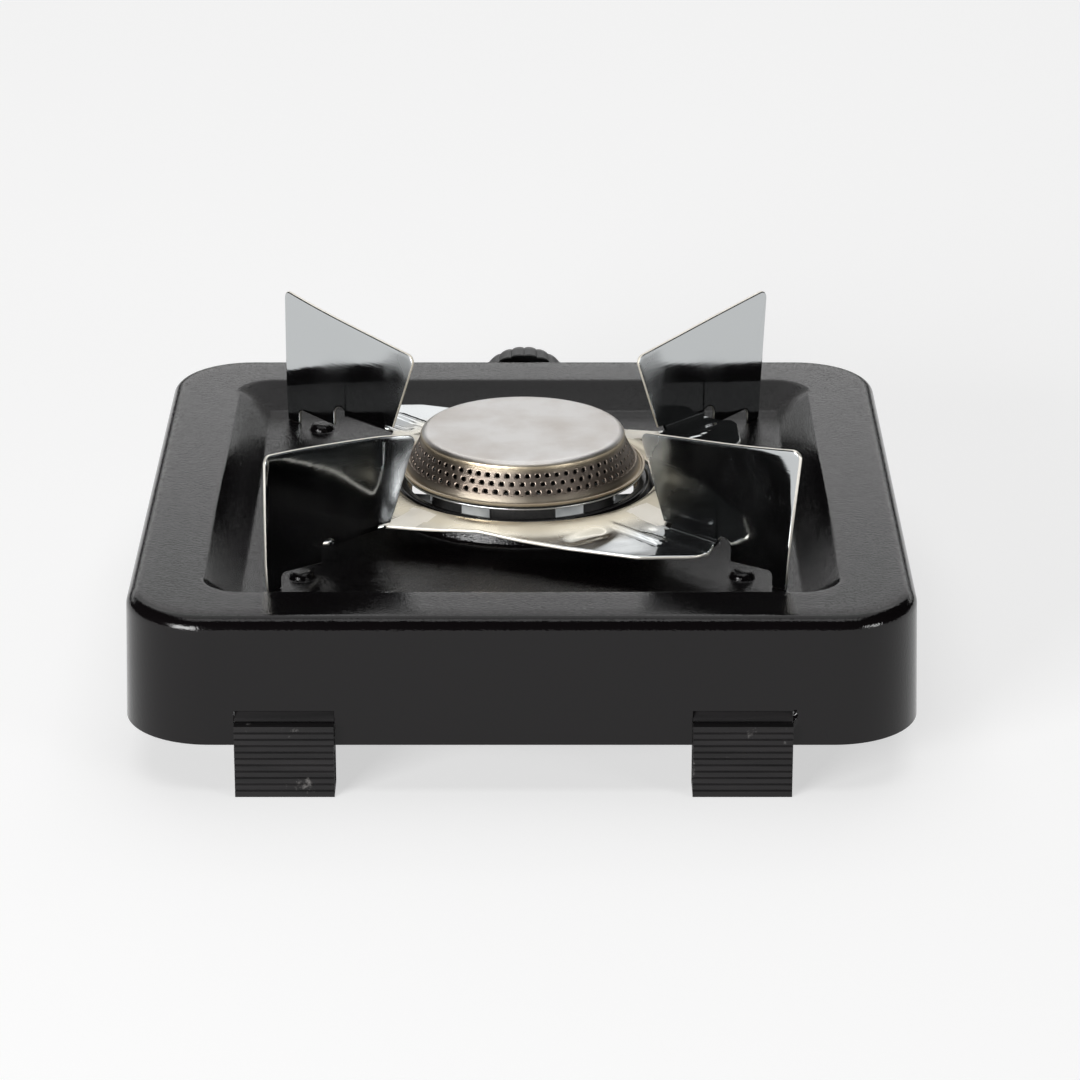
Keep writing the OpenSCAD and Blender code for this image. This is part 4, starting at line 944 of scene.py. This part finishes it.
class StoveLooks(bpy.types.PropertyGroup):
    """Colours of the stove's finishes and counts of its pressed detail."""
    enamel: FloatVectorProperty(name="Enamel", description="Colour of the vitreous enamel",
                                subtype="COLOR", size=4, min=0, max=1, default=srgb("#090708"))
    chrome: FloatVectorProperty(name="Chrome", description="Colour of the chrome plate",
                                subtype="COLOR", size=4, min=0, max=1, default=srgb("#c2c5c6"))
    cap: FloatVectorProperty(name="Cap", description="Colour of the cap's clean disc",
                             subtype="COLOR", size=4, min=0, max=1, default=srgb("#dfdddb"))
    enamel_wall: FloatProperty(name="Enamelled sheet", description="Thickness of the body's sheet",
                               unit="LENGTH", default=0.8 * MM, min=0.6 * MM, max=1 * MM)
    flutes: IntProperty(name="Flutes", description="Grip flutes round the knob",
                        default=24, min=16, max=30)


class STOVE_OT_body(bpy.types.Operator):
    """Makes the enamelled tray body"""
    bl_idname = "stove.body"
    bl_label = "Enamelled body"

    def execute(self, context):
        made = piece("enamelled_body", "stove", "black_enamel", enamelled_body(),
                     ["body_shell"], outward=False)
        thicken(made, chosen().enamel_wall / MM)
        soften(made, 0.25)
        return {"FINISHED"}


class STOVE_OT_feet(bpy.types.Operator):
    """Finishes the four ribbed feet"""
    bl_idname = "stove.feet"
    bl_label = "Feet"

    def execute(self, context):
        dress("foot_front_left", "foot_front_right", "foot_rear_left", "foot_rear_right")
        return {"FINISHED"}


class STOVE_OT_pan_support(bpy.types.Operator):
    """Makes the chromed pan support"""
    bl_idname = "stove.pan_support"
    bl_label = "Pan support"

    def execute(self, context):
        surface = merged(plate(), *[wing(k) for k in range(4)])
        mark_highlit_cut_edges(piece("chromed_pan_support", "rack", "chrome_sheet", surface,
                             ["pan_support"]))
        return {"FINISHED"}


class STOVE_OT_burner(bpy.types.Operator):
    """Makes the perforated cap, its seat and the cup, and finishes what carries them"""
    bl_idname = "stove.burner"
    bl_label = "Burner"

    def execute(self, context):
        cap = piece("perforated_cap", "cap", "stainless_cap", perforated_cap(), ["burner_cap"],
                    outward=False)
        thicken(cap, 0.7)
        piece("cast_cup", "stove", "black_casting", burner_cup(), ["burner_cup"])
        piece("cap_seat", "stove", "bright_zinc", seat_ring(), ["burner_seat"])
        dress("burner_strap", "strap_screws", "mixing_tube", "air_shutter", "jet")
        return {"FINISHED"}


class STOVE_OT_tap(bpy.types.Operator):
    """Makes the knob and the hose nozzle, and finishes the gas tap and its pipe"""
    bl_idname = "stove.tap"
    bl_label = "Tap, knob and nozzle"

    def execute(self, context):
        piece("fluted_knob", "knob_group", "knob_plastic",
              knob_shell(chosen().flutes), ["knob"])
        piece("barbed_nozzle", "stove", "brass_part", hose_nozzle(), ["hose_nozzle"])
        dress("valve_body", "valve_plug", "valve_spring", "valve_bonnet", "valve_bracket",
              "valve_screws", "spindle", "spindle_seal", "knob_clip", "nozzle_nut", "gas_pipe")
        return {"FINISHED"}


class STOVE_OT_stage(bpy.types.Operator):
    """Sets up the pale floor, the soft lights and the camera"""
    bl_idname = "stove.stage"
    bl_label = "Stage"

    def execute(self, context):
        scene = context.scene
        stage_floor()
        world = bpy.data.worlds.new("studio")
        world.use_nodes = True
        background = world.node_tree.nodes["Background"]
        background.inputs["Color"].default_value = srgb("#f5f5f5")
        background.inputs["Strength"].default_value = 0.02
        scene.world = world
        scene.view_settings.view_transform = "Standard"
        for light in LIGHTS:
            softbox(*light)
        camera = bpy.data.cameras.new("camera")
        camera.lens = 148.36
        camera.sensor_width = 36
        camera.clip_end = 30
        view = bpy.data.objects.new("camera", camera)
        view.location = (0.00639, -1.55124, 0.63661)
        view.rotation_euler = (np.radians(68.97), 0, 0)
        scene.collection.objects.link(view)
        scene.camera = view
        return {"FINISHED"}


class STOVE_PT_panel(bpy.types.Panel):
    """Lists the stove's pieces"""
    bl_idname = "STOVE_PT_panel"
    bl_label = "Gas stove"
    bl_space_type = "VIEW_3D"
    bl_region_type = "UI"
    bl_category = "Gas stove"

    def draw(self, context):
        looks = context.scene.stove_looks
        for name in ("enamel", "chrome", "cap", "enamel_wall", "flutes"):
            self.layout.prop(looks, name)
        for operator in OPERATORS:
            self.layout.operator(operator.bl_idname)


OPERATORS = (STOVE_OT_stage, STOVE_OT_body, STOVE_OT_feet, STOVE_OT_pan_support,
             STOVE_OT_burner, STOVE_OT_tap)


def register():
    for made in (StoveLooks, *OPERATORS, STOVE_PT_panel):
        bpy.utils.register_class(made)
    bpy.types.Scene.stove_looks = PointerProperty(type=StoveLooks)


def unregister():
    del bpy.types.Scene.stove_looks
    for made in (STOVE_PT_panel, *reversed(OPERATORS), StoveLooks):
        bpy.utils.unregister_class(made)


def main():
    register()
    bpy.ops.stove.stage()
    bpy.ops.stove.body()
    bpy.ops.stove.feet()
    bpy.ops.stove.pan_support()
    bpy.ops.stove.burner()
    bpy.ops.stove.tap()


if __name__ == "__main__":
    main()
